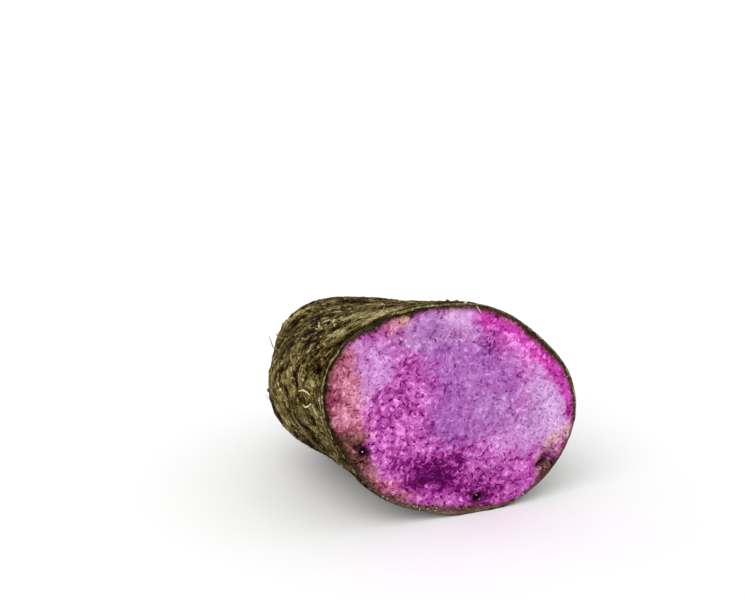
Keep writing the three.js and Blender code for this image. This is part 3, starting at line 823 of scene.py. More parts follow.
def build_body(bark, flesh):
    # rows of the skin, evenly spaced along it
    tt = np.linspace(0, 0.9995, 1500)
    aa = np.arange(24) / 24 * 2 * np.pi
    grid = np.stack([base(np.full(len(tt), x), to_s(tt)) for x in aa])
    step = np.linalg.norm(np.diff(grid, axis=1), axis=2).mean(0)
    run = np.r_[0, np.cumsum(step)]
    fine = 1.3 - 0.62 * ease(run, 12, 45)  # rows lie closer near the cut
    work = np.r_[0, np.cumsum(0.5 * (fine[1:] + fine[:-1]) * np.diff(run))]
    rows = int(work[-1] / SKIN_STEP)
    ts = np.interp(np.linspace(0, work[-1], rows + 1), work, tt)[:-1]
    girth = np.linalg.norm(np.roll(grid, -1, 0) - grid, axis=2).sum(0) * 1.003
    counts = np.maximum((np.interp(ts, tt, girth) / SKIN_STEP).astype(int), 6)
    counts[0] = int(girth[0] / FACE_STEP)
    counts[1] = (counts[0] + counts[2]) // 2
    rings = [ring_angles(n) for n in counts]
    A = np.concatenate(rings)
    T = np.concatenate([np.full(n, t) for n, t in zip(counts, ts)])
    pts, nor, up, scar = skin(A, T)
    s_all = to_s(T)
    pts[: counts[0], 1] = CUT_Y + face_depth(
        pts[: counts[0], 0], pts[: counts[0], 2], np.zeros(counts[0]), A[: counts[0]]
    )
    starts = np.r_[0, np.cumsum(counts)]
    tris = [stitch(starts[i], rings[i], starts[i + 1], rings[i + 1]) for i in range(len(counts) - 1)]
    tip = starts[-1]
    q, _, up1, _ = skin(np.array([0.0]), np.array([0.9995]))
    last = starts[-2] + np.arange(counts[-1])
    tris.append(np.stack([last, np.full(len(last), tip), np.roll(last, -1)], 1))
    points = [pts, q]
    attr = {
        "up": [up, up1], "scar": [scar, [0.0]], "flow": [flow_of(A, s_all, pts), [0.3]],
        "rim": [np.zeros(len(pts)), [0.0]], "lipw": [np.ones(len(pts)), [1.0]], "groovew": [np.ones(len(pts)), [1.0]],
    }
    for k in ("lipt", "gapt", "bruisew", "bruise", "lump"):
        attr[k] = [np.zeros(len(pts) + 1)]
    pale, dark_and_shade = patches(np.concatenate([skin_frame(A, T)[0], q]))
    attr["pale"], attr["dark_and_shade"] = [pale], [dark_and_shade]
    attr["read"] = [in_view(np.concatenate([pts, q]), np.concatenate([nor, nor[:1]]))]
    attr["smooth"] = [smoothness(np.concatenate([pts, q]))]
    for k in BLOBS:
        attr[k] = [np.zeros(len(pts) + 1)]
    attr["specks"] = [np.zeros(len(pts) + 1)]
    attr["pit"] = [np.zeros(len(pts) + 1)]
    skin_tris = sum(len(t) for t in tris)

    # the cut face, ring by ring from the rim to the middle
    ring_a = A[: counts[0]]
    rim2 = pts[: counts[0]][:, [0, 2]]
    centre = np.array([rim2[:, 0].mean(), rim2[:, 1].mean()])

    def outline(a):
        return np.stack([
            np.interp(a, np.r_[ring_a, 2 * np.pi], np.r_[rim2[:, 0], rim2[0, 0]]),
            np.interp(a, np.r_[ring_a, 2 * np.pi], np.r_[rim2[:, 1], rim2[0, 1]]),
        ], 1)

    smooth_n = skin_frame(ring_a, np.zeros(len(ring_a)))[1][:, [0, 2]]
    smooth_n /= np.linalg.norm(smooth_n, axis=1, keepdims=True)

    def rim_normal(a):
        n = np.stack([
            np.interp(a, np.r_[ring_a, 2 * np.pi], np.r_[smooth_n[:, 0], smooth_n[0, 0]]),
            np.interp(a, np.r_[ring_a, 2 * np.pi], np.r_[smooth_n[:, 1], smooth_n[0, 1]]),
        ], 1)
        return n / np.linalg.norm(n, axis=1, keepdims=True)

    deep = [0.2, 0.45, 0.72, 1.0, 1.3, 1.6, 1.9, 2.25, 2.6, 3.0]
    mean_r = np.hypot(*(rim2 - centre).T).mean()
    inner = np.arange(3.0 + FACE_STEP, mean_r - 0.3, FACE_STEP)
    prev_start, prev_a = 0, ring_a
    total = tip + 1
    for d in list(deep) + list(inner):
        circ = girth[0] * (mean_r - d) / mean_r
        n = max(int(circ / FACE_STEP), 6)
        a = (np.arange(n) + 0.5 * (len(tris) % 2)) / n * 2 * np.pi
        if d <= 3.0:
            xz = outline(a) - rim_normal(a) * d
            dist = np.full(n, d)
        else:
            k = (mean_r - d) / (mean_r - 3.0)
            ring3 = outline(a) - rim_normal(a) * 3.0
            xz = centre + (ring3 - centre) * k
            dist = 3.0 + np.hypot(*(ring3 - centre).T) * (1 - k)
            jit = FACE_STEP * 0.22 * ease(d, 3.2, 4.2)
            q3 = np.stack([xz[:, 0] * 3.1, xz[:, 1] * 3.1, 0 * a], 1)
            xz = xz + jit * np.stack([noise(q3, 201), noise(q3, 202)], 1)
        y = CUT_Y + face_depth(xz[:, 0], xz[:, 1], dist, a)
        P = np.stack([xz[:, 0], y, np.maximum(xz[:, 1], 0)], 1)
        tris.append(stitch(prev_start, prev_a, total, a, inward=True))
        points.append(P)
        add_face_attrs(attr, P, dist, a)
        prev_start, prev_a = total, a
        total += n
    y = CUT_Y + face_depth(centre[:1], centre[1:], np.array([mean_r]), np.array([0.0]))
    P = np.array([[centre[0], y[0], centre[1]]])
    points.append(P)
    add_face_attrs(attr, P, np.array([mean_r]), np.array([0.0]))
    last = prev_start + np.arange(len(prev_a))
    tris.append(np.stack([last, np.roll(last, -1), np.full(len(prev_a), total)], 1))

    tris = np.concatenate(tris)
    slots = np.zeros(len(tris), int)
    slots[skin_tris:] = 1
    o = make_mesh(
        "yam_half", np.concatenate(points), tris, {k: np.concatenate(v) for k, v in attr.items()},
        [bark, flesh], slots,
    )
    return o, (ts, tt, girth, run)


def add_face_attrs(attr, P, dist, a):
    n = len(P)
    x, z = P[:, 0], P[:, 2]
    q = np.stack([x, z, 0 * x], 1)
    warp = (
        1.5 * noise(q / 5.0, 301) + 0.9 * noise(q / 1.9, 302),
        1.5 * noise(q / 5.0, 303) + 0.9 * noise(q / 1.9, 304),
    )
    attr["up"].append(np.clip(0.5 + 0.5 * noise(q / 1.2, 305), 0, 1))
    attr["scar"].append(np.zeros(n))
    attr["flow"].append(np.zeros(n))
    attr["rim"].append(dist)
    attr["lipw"].append(lip_width(a))
    attr["groovew"].append(groove_width(a))
    for key, column in (("lipt", 2), ("gapt", 4), ("bruisew", 5), ("bruise", 6)):
        attr[key].append(rim_value(a, column))
    attr["lump"].append(lumps(x, z))
    attr["pale"].append(np.zeros(n))
    attr["dark_and_shade"].append(np.zeros(n))
    attr["read"].append(np.zeros(n))
    attr["smooth"].append(np.zeros(n))
    for k, rows in BLOBS.items():
        attr[k].append(blob_mask(x, z, rows, warp))
    attr["specks"].append(blob_mask(x, z, SPECK_ZONES, warp))
    pit = np.zeros(n)
    for u, v, r, depth, flat, turn in PITS:
        cx, cz = on_cut(u, v)
        c, m = math.cos(math.radians(turn)), math.sin(math.radians(turn))
        dx, dz = x - cx, z - cz
        k = np.hypot((dx * c + dz * m) / (r * math.sqrt(flat)), (-dx * m + dz * c) / (r / math.sqrt(flat)))
        pit = np.maximum(pit, np.exp(-(k**2) * 0.55))
    attr["pit"].append(pit)


# =========================================================================================
# Materials
# =========================================================================================
def lin(r, g, b, gain=1.0, veil=0.0):
    """An sRGB colour (0-255) as linear, less what the light adds to it: its strength, and the
    white that glances off the surface."""
    def f(c):
        c /= 255.0
        c = c / 12.92 if c <= 0.04045 else ((c + 0.055) / 1.055) ** 2.4
        return max(c / gain - veil, 0.0006)
    return (f(r), f(g), f(b), 1.0)


class Nodes:
    def __init__(self, name):
        self.mat = bpy.data.materials.new(name)
        self.mat.use_nodes = True
        self.t = self.mat.node_tree
        self.bsdf = self.t.nodes["Principled BSDF"]

    def put(self, socket, value):
        if isinstance(value, bpy.types.NodeSocket):
            self.t.links.new(value, socket)
        elif value is not None:
            socket.default_value = value

    def node(self, kind, **props):
        n = self.t.nodes.new(kind)
        for k, v in props.items():
            setattr(n, k, v)
        return n

    def m(self, op, a, b=None, c=None, clamp=False):
        n = self.node("ShaderNodeMath", operation=op, use_clamp=clamp)
        for s, v in zip(n.inputs, (a, b, c)):
            self.put(s, v)
        return n.outputs[0]

    def vm(self, op, a, b=None, scale=None):
        n = self.node("ShaderNodeVectorMath", operation=op)
        self.put(n.inputs[0], a)
        if b is not None:
            self.put(n.inputs[1], b)
        if scale is not None:
            self.put(n.inputs["Scale"], scale)
        return n.outputs[0]

    def mix(self, fac, a, b, blend="MIX"):
        n = self.node("ShaderNodeMix", data_type="RGBA", blend_type=blend, clamp_factor=True)
        self.put(n.inputs[0], fac)
        self.put(n.inputs[6], a)
        self.put(n.inputs[7], b)
        return n.outputs[2]

    def step(self, x, lo, hi):
        """0 below lo, 1 above hi, smooth between."""
        n = self.node("ShaderNodeMapRange", interpolation_type="SMOOTHSTEP")
        self.put(n.inputs[0], x)
        self.put(n.inputs[1], lo)
        self.put(n.inputs[2], hi)
        return n.outputs[0]

    def ramp(self, fac, stops, interp="LINEAR"):
        n = self.node("ShaderNodeValToRGB")
        n.color_ramp.interpolation = interp
        e = n.color_ramp.elements
        while len(e) < len(stops):
            e.new(0.5)
        for el, (pos, col) in zip(e, stops):
            el.position = pos
            el.color = col
        self.put(n.inputs[0], fac)
        return n.outputs[0]

    def attr(self, name):
        n = self.node("ShaderNodeAttribute", attribute_name=name, attribute_type="GEOMETRY")
        return n.outputs["Fac"]

    def mm(self):
        """Object coordinates in mm."""
        n = self.node("ShaderNodeTexCoord")
        return self.vm("SCALE", n.outputs["Object"], scale=1000.0)

    def noise(self, vec, scale=1.0, detail=2.0, rough=0.5, distortion=0.0, dims="3D", colour=False):
        n = self.node("ShaderNodeTexNoise", noise_dimensions=dims)
        self.put(n.inputs["Vector"], vec)
        n.inputs["Scale"].default_value = scale
        n.inputs["Detail"].default_value = detail
        n.inputs["Roughness"].default_value = rough
        n.inputs["Distortion"].default_value = distortion
        return n.outputs["Color" if colour else "Fac"]

    def voronoi(self, vec, scale=1.0, feature="F1", dims="3D", rand=1.0, smooth=None):
        n = self.node("ShaderNodeTexVoronoi", feature=feature, voronoi_dimensions=dims)
        self.put(n.inputs["Vector"], vec)
        n.inputs["Scale"].default_value = scale
        n.inputs["Randomness"].default_value = rand
        if smooth is not None:
            n.inputs["Smoothness"].default_value = smooth
        return n

    def bump(self, height, strength, distance_mm, normal=None):
        n = self.node("ShaderNodeBump")
        n.inputs["Strength"].default_value = strength
        n.inputs["Distance"].default_value = distance_mm * MM
        self.put(n.inputs["Height"], height)
        if normal is not None:
            self.put(n.inputs["Normal"], normal)
        return n.outputs[0]

    def scale3(self, vec, xyz):
        return self.vm("MULTIPLY", vec, xyz)

    def warp(self, vec, scale, amount):
        n = self.noise(vec, scale, 2.0, 0.5, colour=True)
        c = self.vm("SUBTRACT", n, (0.5, 0.5, 0.5))
        return self.vm("ADD", vec, self.vm("SCALE", c, scale=amount))

    def strokes(self, plane, size, length, width, seed, keep):
        """Short straight strokes, one a cell, each at its own random turn. plane is a vector
        with its first two numbers in mm. 1 on a stroke, and its own random number."""
        moved = self.vm("ADD", plane, (seed * 3.17, seed * 7.31, 0.0))
        v = self.voronoi(moved, 1.0 / size, "F1", "2D", 0.9)
        away = self.vm("SUBTRACT", moved, v.outputs["Position"])
        sep = self.node("ShaderNodeSeparateColor")
        self.put(sep.inputs[0], v.outputs["Color"])
        turn = self.node("ShaderNodeVectorRotate", rotation_type="Z_AXIS")
        self.put(turn.inputs["Vector"], away)
        self.put(turn.inputs["Angle"], self.m("MULTIPLY", sep.outputs[0], 6.2832))
        part = self.node("ShaderNodeSeparateXYZ")
        self.put(part.inputs[0], turn.outputs[0])
        bend = self.m("MULTIPLY", self.m("MULTIPLY", part.outputs[0], part.outputs[0]), 0.35)
        dx = self.m("DIVIDE", part.outputs[0], length)
        dy = self.m("DIVIDE", self.m("ADD", part.outputs[1], bend), width)
        r = self.m("ADD", self.m("MULTIPLY", dx, dx), self.m("MULTIPLY", dy, dy))
        on = self.m("SUBTRACT", 1.0, self.step(r, 0.3, 1.1))
        kept = self.m("LESS_THAN", sep.outputs[1], keep)
        return self.m("MULTIPLY", on, kept), sep.outputs[2]


def dry(r, g, b):
    return lin(r, g, b * 0.9, 1.0, 0.003)


BARK = (
    (0.06, dry(20, 10, 2)), (0.2, dry(42, 29, 7)), (0.34, dry(66, 52, 22)), (0.455, dry(91, 77, 43)),
    (0.56, dry(115, 100, 63)), (0.68, dry(136, 122, 84)), (0.81, dry(157, 144, 108)), (0.95, dry(194, 182, 150)),
)
UNIT = 7.7  # brings a plain noise, less its mean, to a spread of 1


def spread(k, n, amount, unit=UNIT):
    return k.m("MULTIPLY", k.m("SUBTRACT", n, 0.5), amount * unit)


def total(k, *parts):
    out = parts[0]
    for x in parts[1:]:
        out = k.m("ADD", out, x)
    return out


def bark_colour(k, v, p):
    """Bark colour for a value from 0, a crevice, to 1, a dry pale crest."""
    hue = k.noise(k.vm("ADD", p, (31.0, 7.0, 11.0)), 0.16, 2.0, 0.6)
    col = k.ramp(v, BARK)
    green = k.step(hue, 0.5, 0.68)
    red = k.m("SUBTRACT", 1.0, k.step(hue, 0.34, 0.48))
    grey = k.noise(k.vm("ADD", p, (9.0, 41.0, 17.0)), 0.27, 2.0, 0.6)
    col = k.mix(k.m("MULTIPLY", k.step(grey, 0.47, 0.62), 0.85), col, k.mix(1.0, col, (0.95, 0.98, 1.35, 1.0), "MULTIPLY"))
    col = k.mix(k.m("SUBTRACT", 1.0, k.step(grey, 0.36, 0.5)), col, k.mix(1.0, col, (1.02, 1.0, 0.84, 1.0), "MULTIPLY"))
    col = k.mix(k.m("MULTIPLY", green, 0.5), col, k.mix(1.0, col, (0.92, 1.0, 0.72, 1.0), "MULTIPLY"))
    return k.mix(k.m("MULTIPLY", red, 0.8), col, k.mix(1.0, col, (1.02, 0.88, 0.82, 1.0), "MULTIPLY"))


# Shifts the bark's value lighter by pale and darker by dark_and_shade: partly its own patches, partly painted light and
# shade.
def patch_shift(k):
    return k.m("SUBTRACT", k.m("MULTIPLY", k.attr("pale"), 0.23), k.m("MULTIPLY", k.attr("dark_and_shade"), 0.24))


def ridge(k, n, lo, hi):
    """1 where a noise is near its middle value: thin winding crests."""
    d = k.m("ABSOLUTE", k.m("SUBTRACT", n, 0.5))
    return k.m("SUBTRACT", 1.0, k.step(d, lo, hi))


def bark_material(name="yam_bark"):
    k = Nodes(name)
    p = k.mm()
    w = k.warp(p, 0.2, 2.2)
    w2 = k.warp(w, 0.75, 1.3)
    flow = k.attr("flow")
    fl = k.step(total(k, flow, spread(k, k.noise(p, 0.2, 1.0), 0.1)), 0.3, 0.7)

    def pick(a, b):
        n = k.node("ShaderNodeMix", data_type="FLOAT")
        k.put(n.inputs[0], fl)
        k.put(n.inputs[2], a)
        k.put(n.inputs[3], b)
        return n.outputs[0]

    fibre = pick(
        k.noise(k.scale3(w2, (0.6, 1.5, 0.6)), 1.0, 1.0, 0.55), k.noise(k.scale3(w2, (1.5, 0.6, 1.5)), 1.0, 1.0, 0.55)
    )
    strand = ridge(k, pick(
        k.noise(k.scale3(w2, (0.42, 0.62, 0.42)), 1.0, 0.0), k.noise(k.scale3(w2, (0.62, 0.42, 0.62)), 1.0, 0.0)
    ), 0.008, 0.035)
    strand = k.m("MULTIPLY", strand, k.step(k.noise(k.vm("ADD", p, (3.0, 50.0, 9.0)), 0.33, 1.0), 0.45, 0.58))
    grit = k.noise(p, 2.3, 2.0, 0.6)
    blotch = k.noise(k.vm("ADD", w2, (5.0, 9.0, 2.0)), 0.5, 1.0, 0.55)
    broad = k.noise(w, 0.11, 1.0, 0.5)
    # crumbs: each chip of cork has its own tone, with dark cracks between some
    chips = k.voronoi(k.scale3(w2, (0.55, 0.68, 0.55)), 1.0, "F1")
    chip_tone = k.node("ShaderNodeSeparateColor")
    k.put(chip_tone.inputs[0], chips.outputs["Color"])
    gaps = k.voronoi(k.scale3(w2, (0.55, 0.68, 0.55)), 1.0, "DISTANCE_TO_EDGE")
    crack = k.m("SUBTRACT", 1.0, k.step(gaps.outputs["Distance"], 0.01, 0.12))
    crack = k.m("MULTIPLY", crack, k.step(k.noise(k.vm("ADD", p, (13.0, 5.0, 29.0)), 0.3, 1.0), 0.44, 0.6))
    dots = k.voronoi(k.vm("ADD", p, (7.0, 1.0, 3.0)), 0.42, "F1")
    dot_tone = k.node("ShaderNodeSeparateColor")
    k.put(dot_tone.inputs[0], dots.outputs["Color"])
    dot = k.m("MULTIPLY", k.m("SUBTRACT", 1.0, k.step(dots.outputs["Distance"], 0.07, 0.16)), k.m("LESS_THAN", dot_tone.outputs[0], 0.5))
    up = k.attr("up")

    # long fine streaks along the fibres: a painted highlight on one side and a painted shadow on the other, so that
    # they look raised
    streak = pick(
        k.noise(k.scale3(w, (0.22, 1.15, 0.22)), 1.0, 1.0, 0.5), k.noise(k.scale3(w, (1.15, 0.22, 1.15)), 1.0, 1.0, 0.5)
    )
    streak_highlight = k.m("MULTIPLY", k.step(streak, 0.5, 0.512), k.m("SUBTRACT", 1.0, k.step(streak, 0.522, 0.545)))
    streak_shadow = k.m("MULTIPLY", k.step(streak, 0.46, 0.485), k.m("SUBTRACT", 1.0, k.step(streak, 0.49, 0.502)))
    where = k.step(k.noise(k.vm("ADD", p, (23.0, 5.0, 39.0)), 0.24, 1.0), 0.5, 0.64)
    rough = k.m("ADD", 0.5, k.m("MULTIPLY", k.step(k.noise(k.vm("ADD", p, (2.0, 35.0, 19.0)), 0.15, 1.0), 0.4, 0.6), 0.75))

    read = k.attr("read")
    # up makes crevices darker and crests lighter, partly painted shade and painted light; patch_shift adds the painted
    # top light, bottom shade and marked rows
    v = total(
        k, 0.4,
        k.m("MULTIPLY", k.m("MULTIPLY", rough, k.m("SUBTRACT", 1.0, k.m("MULTIPLY", k.attr("smooth"), 0.6))), total(
            k, spread(k, fibre, 0.045, 9.5), spread(k, grit, 0.145, 10.5), k.m("MULTIPLY", k.m("SUBTRACT", up, 0.5), 0.88),
            k.m("MULTIPLY", k.m("SUBTRACT", chip_tone.outputs[0], 0.5), 0.2), k.m("MULTIPLY", crack, -0.42),
            k.m("MULTIPLY", dot, 0.28),
        )),
        spread(k, blotch, 0.08, 9.5), spread(k, broad, 0.13, 9.5), k.m("MULTIPLY", strand, 0.2),
        k.m("MULTIPLY", k.m("SUBTRACT", k.m("MULTIPLY", streak_highlight, 0.2), k.m("MULTIPLY", streak_shadow, 0.24)), where),
        patch_shift(k),
    )
    v = k.m("ADD", 0.4, k.m("MULTIPLY", k.m("SUBTRACT", v, 0.4), k.m("ADD", 0.7, k.m("MULTIPLY", read, 0.3))))
    col = bark_colour(k, v, p)
    # warmer and darker where dark_and_shade is strong: partly darker bark, partly painted shade
    col = k.mix(k.m("MULTIPLY", k.step(k.attr("dark_and_shade"), 0.2, 1.3), 0.7), col, k.mix(1.0, col, (1.05, 0.92, 0.75, 1.0), "MULTIPLY"))
    scar = k.attr("scar")
    col = k.mix(k.m("MULTIPLY", scar, 0.45), col, lin(156, 141, 98))
    k.put(k.bsdf.inputs["Base Color"], col)
    k.put(k.bsdf.inputs["Roughness"], k.m("ADD", 0.6, k.m("MULTIPLY", grit, 0.3)))
    k.bsdf.inputs["Specular IOR Level"].default_value = 0.02
    h = total(
        k, spread(k, fibre, 0.12), spread(k, grit, 0.12), spread(k, blotch, 0.1), k.m("MULTIPLY", crack, -0.35),
        k.m("MULTIPLY", strand, 0.3), k.m("MULTIPLY", chip_tone.outputs[1], 0.25),
    )
    k.put(k.bsdf.inputs["Normal"], k.bump(h, 0.8, 0.55))
    return k.mat


def flake_material(name, shift, amount):
    k = Nodes(name)
    p = k.mm()
    grit = k.noise(p, 2.0, 2.0, 0.6)
    broad = k.noise(p, 0.11, 1.0, 0.5)
    # lit_top paints each sliver's top lighter and its edges on the skin darker: painted light and shade
    v = total(
        k, shift, k.m("MULTIPLY", k.m("SUBTRACT", k.attr("tone"), 0.5), amount),
        k.m("MULTIPLY", k.m("SUBTRACT", k.attr("lit_top"), 0.5), 0.16), spread(k, grit, 0.08, 10.5),
        spread(k, broad, 0.05, 9.5), patch_shift(k),
    )
    k.put(k.bsdf.inputs["Base Color"], bark_colour(k, v, p))
    k.put(k.bsdf.inputs["Roughness"], k.m("ADD", 0.55, k.m("MULTIPLY", grit, 0.3)))
    k.bsdf.inputs["Specular IOR Level"].default_value = 0.02
    k.put(k.bsdf.inputs["Normal"], k.bump(grit, 0.4, 0.15))
    return k.mat


def straw_material(name, stops):
    k = Nodes(name)
    p = k.mm()
    grit = k.noise(p, 2.2, 2.0, 0.6)
    v = k.m("ADD", k.m("MULTIPLY", k.attr("tone"), 0.8), k.m("MULTIPLY", k.m("SUBTRACT", grit, 0.5), 0.6))
    k.put(k.bsdf.inputs["Base Color"], k.ramp(v, stops))
    k.put(k.bsdf.inputs["Roughness"], k.m("ADD", 0.5, k.m("MULTIPLY", grit, 0.3)))
    k.bsdf.inputs["Specular IOR Level"].default_value = 0.02
    k.put(k.bsdf.inputs["Normal"], k.bump(grit, 0.4, 0.15))
    return k.mat


def wet(*rows):
    """Flesh colours from a dark hollow to a pale wet lump, as ramp stops."""
    places = (0.0, 0.2, 0.36, 0.5, 0.64, 0.8, 0.96)
    return tuple((x, lin(*c, 1.12, 0.003)) for x, c in zip(places, rows))


MAGENTA = wet((76, 0, 70), (122, 24, 110), (162, 60, 146), (184, 84, 170), (201, 104, 187), (222, 128, 210), (243, 158, 232))
VIOLET = wet((82, 20, 90), (132, 54, 136), (160, 86, 168), (173, 102, 181), (186, 116, 194), (202, 134, 211), (226, 166, 232))
LAVENDER = wet((104, 38, 108), (150, 74, 148), (188, 112, 187), (203, 135, 204), (213, 150, 215), (223, 167, 226), (238, 190, 240))
DEEP = wet((98, 3, 76), (140, 22, 108), (167, 43, 140), (187, 59, 161), (206, 77, 182), (227, 103, 207), (248, 143, 232))
ASH = wet((110, 52, 112), (150, 92, 154), (172, 116, 180), (187, 132, 194), (203, 154, 210), (218, 176, 224), (232, 196, 238))
BLUSH = wet((80, 36, 50), (134, 82, 98), (176, 120, 142), (204, 150, 172), (216, 166, 188), (228, 184, 204), (240, 202, 220))
SALMON = wet((92, 20, 44), (134, 48, 78), (162, 80, 104), (186, 108, 132), (206, 128, 154), (226, 152, 180), (242, 176, 202))
BROWN = wet((18, 3, 2), (50, 24, 20), (84, 48, 43), (112, 68, 64), (136, 90, 84), (156, 110, 106), (180, 136, 132))


def flesh_material():
    k = Nodes("yam_flesh")
    p = k.mm()
    sep = k.node("ShaderNodeSeparateXYZ")
    k.put(sep.inputs[0], p)
    com = k.node("ShaderNodeCombineXYZ")
    k.put(com.inputs[0], sep.outputs[0])
    k.put(com.inputs[1], sep.outputs[2])
    plane = com.outputs[0]
    wp = k.warp(plane, 0.5, 1.6)
    rim, lipw, groovew = k.attr("rim"), k.attr("lipw"), k.attr("groovew")
    lump = k.attr("lump")

    slow = k.noise(plane, 0.22, 1.0, 0.5)
    mid = k.noise(k.vm("ADD", plane, (40.0, 0.0, 0.0)), 0.36, 1.5, 0.5)
    fine = k.noise(k.warp(plane, 1.2, 0.6), 1.5, 1.0, 0.6)
    finest = k.noise(plane, 3.2, 1.0, 0.5)

    def mask(name, lo=0.1, hi=0.95, amt=0.13):
        a = k.attr(name)
        shake = total(k, spread(k, mid, amt, 9.5), k.m("MULTIPLY", lump, 0.05))
        return k.step(k.m("ADD", a, k.m("MULTIPLY", shake, k.step(a, 0.0, 0.35))), lo, hi)

    hot, lav, vio, deep = mask("hot"), mask("lavender"), mask("violet"), mask("deep")
    salmon, brown = mask("salmon", 0.05, 1.1, 0.11), mask("brown", 0.15, 1.0, 0.11)
    calm = k.m("SUBTRACT", 1.0, k.m("MULTIPLY", k.m("MAXIMUM", lav, k.m("MULTIPLY", vio, 0.9)), 0.25))
    lively = k.m("MULTIPLY", calm, k.m("ADD", 0.9, k.m("MULTIPLY", hot, 0.25)))

    # value: dark hollows, pale lumps, thin dark strokes along some of the lumps' edges; the pale lumps are partly
    # painted wet highlights, the hollows and strokes partly painted shade between them
    edges = k.voronoi(k.vm("ADD", wp, (2.0, 5.0, 0.0)), 0.56, "DISTANCE_TO_EDGE", "2D")
    stroke = k.m("SUBTRACT", 1.0, k.step(edges.outputs["Distance"], 0.01, 0.13))
    stroke = k.m("MULTIPLY", stroke, k.step(k.noise(k.vm("ADD", plane, (0.0, 30.0, 0.0)), 0.75, 1.0, 0.5), 0.46, 0.6))
    z = total(
        k, k.m("MULTIPLY", lump, 0.12), spread(k, slow, 0.035, 9.5), spread(k, fine, 0.05, 9.5),
        spread(k, finest, 0.012, 9.5), k.m("MULTIPLY", stroke, -0.1), -0.01,
    )
    v = total(k, 0.5, k.m("MULTIPLY", z, lively), k.m("MULTIPLY", k.attr("shade"), 0.3))
    # pale strokes (+) are partly painted wet highlights on the granules, dark strokes (-) partly painted shade beside
    # them
    for seed, size, length, width, keep, amt in (
        (1, 2.9, 1.0, 0.5, 0.7, 0.23), (2, 2.3, 0.55, 0.42, 0.55, 0.2), (3, 3.6, 1.5, 0.32, 0.65, 0.27),
        (5, 2.5, 0.85, 0.28, 0.6, -0.3), (6, 3.2, 1.3, 0.28, 0.65, -0.3), (7, 3.2, 0.5, 0.32, 0.6, -0.33),
    ):
        st, own = k.strokes(k.warp(plane, 0.6, 0.9), size, length, width, seed, keep)
        v = k.m("ADD", v, k.m("MULTIPLY", st, k.m("MULTIPLY", amt, lively)))

    for seed, size, length, width, amt in ((21, 3.2, 1.5, 0.13, 0.24), (22, 4.3, 1.9, 0.12, 0.24), (23, 2.6, 0.5, 0.2, 0.18)):
        st, own = k.strokes(k.warp(plane, 0.5, 0.9), size, length, width, seed, 0.65)
        v = k.m("ADD", v, k.m("MULTIPLY", st, k.m("MULTIPLY", k.m("MAXIMUM", vio, k.m("MULTIPLY", lav, 0.5)), 1.35 * amt)))

    col = k.ramp(v, MAGENTA)
    col = k.mix(vio, col, k.ramp(v, VIOLET))
    col = k.mix(lav, col, k.ramp(v, LAVENDER))
    col = k.mix(k.m("MULTIPLY", mask("ash", 0.05, 1.1), 0.8), col, k.ramp(v, ASH))
    col = k.mix(deep, col, k.ramp(v, DEEP))
    col = k.mix(salmon, col, k.ramp(v, SALMON))
    col = k.mix(mask("blush", 0.15, 1.0), col, k.ramp(v, BLUSH))
    col = k.mix(brown, col, k.ramp(v, BROWN))
    col = k.mix(k.m("MULTIPLY", mask("cream", 0.1, 1.1), 0.85), col, k.ramp(v, (
        (0.1, lin(80, 58, 34)), (0.4, lin(150, 124, 84)), (0.6, lin(194, 168, 128)), (0.9, lin(232, 214, 184)),
    )))

    spk = k.attr("specks")
    s, own = k.strokes(k.vm("ADD", plane, (5.0, 3.0, 0.0)), 2.2, 0.34, 0.24, 8, 0.8)
    col = k.mix(k.m("MULTIPLY", s, k.m("MULTIPLY", k.step(spk, 0.12, 0.8), 0.8)), col, lin(84, 34, 96))
    s2, own = k.strokes(k.vm("ADD", plane, (9.0, 1.0, 0.0)), 4.6, 0.3, 0.24, 9, 0.5)
    col = k.mix(k.m("MULTIPLY", s2, 0.7), col, lin(74, 18, 72))

    # pits, then the browned flesh, the gap and the cut edge of the skin round the face
    pit = k.attr("pit")
    # painted shade in each pit: a dark purple wall and a black middle
    pit_wall_shade = k.m("MULTIPLY", k.step(total(k, pit, spread(k, fine, 0.03)), 0.0, 0.35), 0.6)
    col = k.mix(pit_wall_shade, col, lin(66, 8, 56))
    col = k.mix(k.step(total(k, pit, spread(k, fine, 0.05)), 0.3, 0.85), col, lin(20, 3, 17))
    edge_noise = k.m("MULTIPLY", k.m("SUBTRACT", k.noise(k.warp(p, 0.8, 0.8), 0.7, 3.0, 0.65), 0.5), 1.8)
    inner_edge = k.m("ADD", lipw, groovew)
    beyond = k.m("SUBTRACT", k.m("ADD", rim, edge_noise), inner_edge)
    flesh_in = k.step(beyond, -0.45, 0.6)
    bruise = k.m("SUBTRACT", 1.0, k.step(k.m("DIVIDE", beyond, k.attr("bruisew")), -0.2, 1.3))
    browned = k.mix(0.5, k.mix(1.0, col, lin(168, 122, 104), "MULTIPLY"), k.ramp(v, BROWN))
    col = k.mix(k.m("MULTIPLY", bruise, k.attr("bruise")), col, browned)
    gapv = total(k, k.attr("gapt"), spread(k, fine, 0.09, 9.5), k.m("MULTIPLY", lump, 0.05))
    gapcol = k.ramp(gapv, (
        (0.05, lin(24, 15, 9)), (0.3, lin(58, 40, 30)), (0.5, lin(88, 70, 62)), (0.8, lin(140, 112, 100)),
    ))
    col = k.mix(flesh_in, gapcol, col)
    along = k.node("ShaderNodeCombineXYZ")  # streaks that follow the rim
    k.put(along.inputs[0], k.m("MULTIPLY", rim, 3.2))
    k.put(along.inputs[1], k.m("MULTIPLY", sep.outputs[0], 0.35))
    k.put(along.inputs[2], k.m("MULTIPLY", sep.outputs[2], 0.35))
    rusty = k.step(k.attr("rust"), 0.1, 0.9)
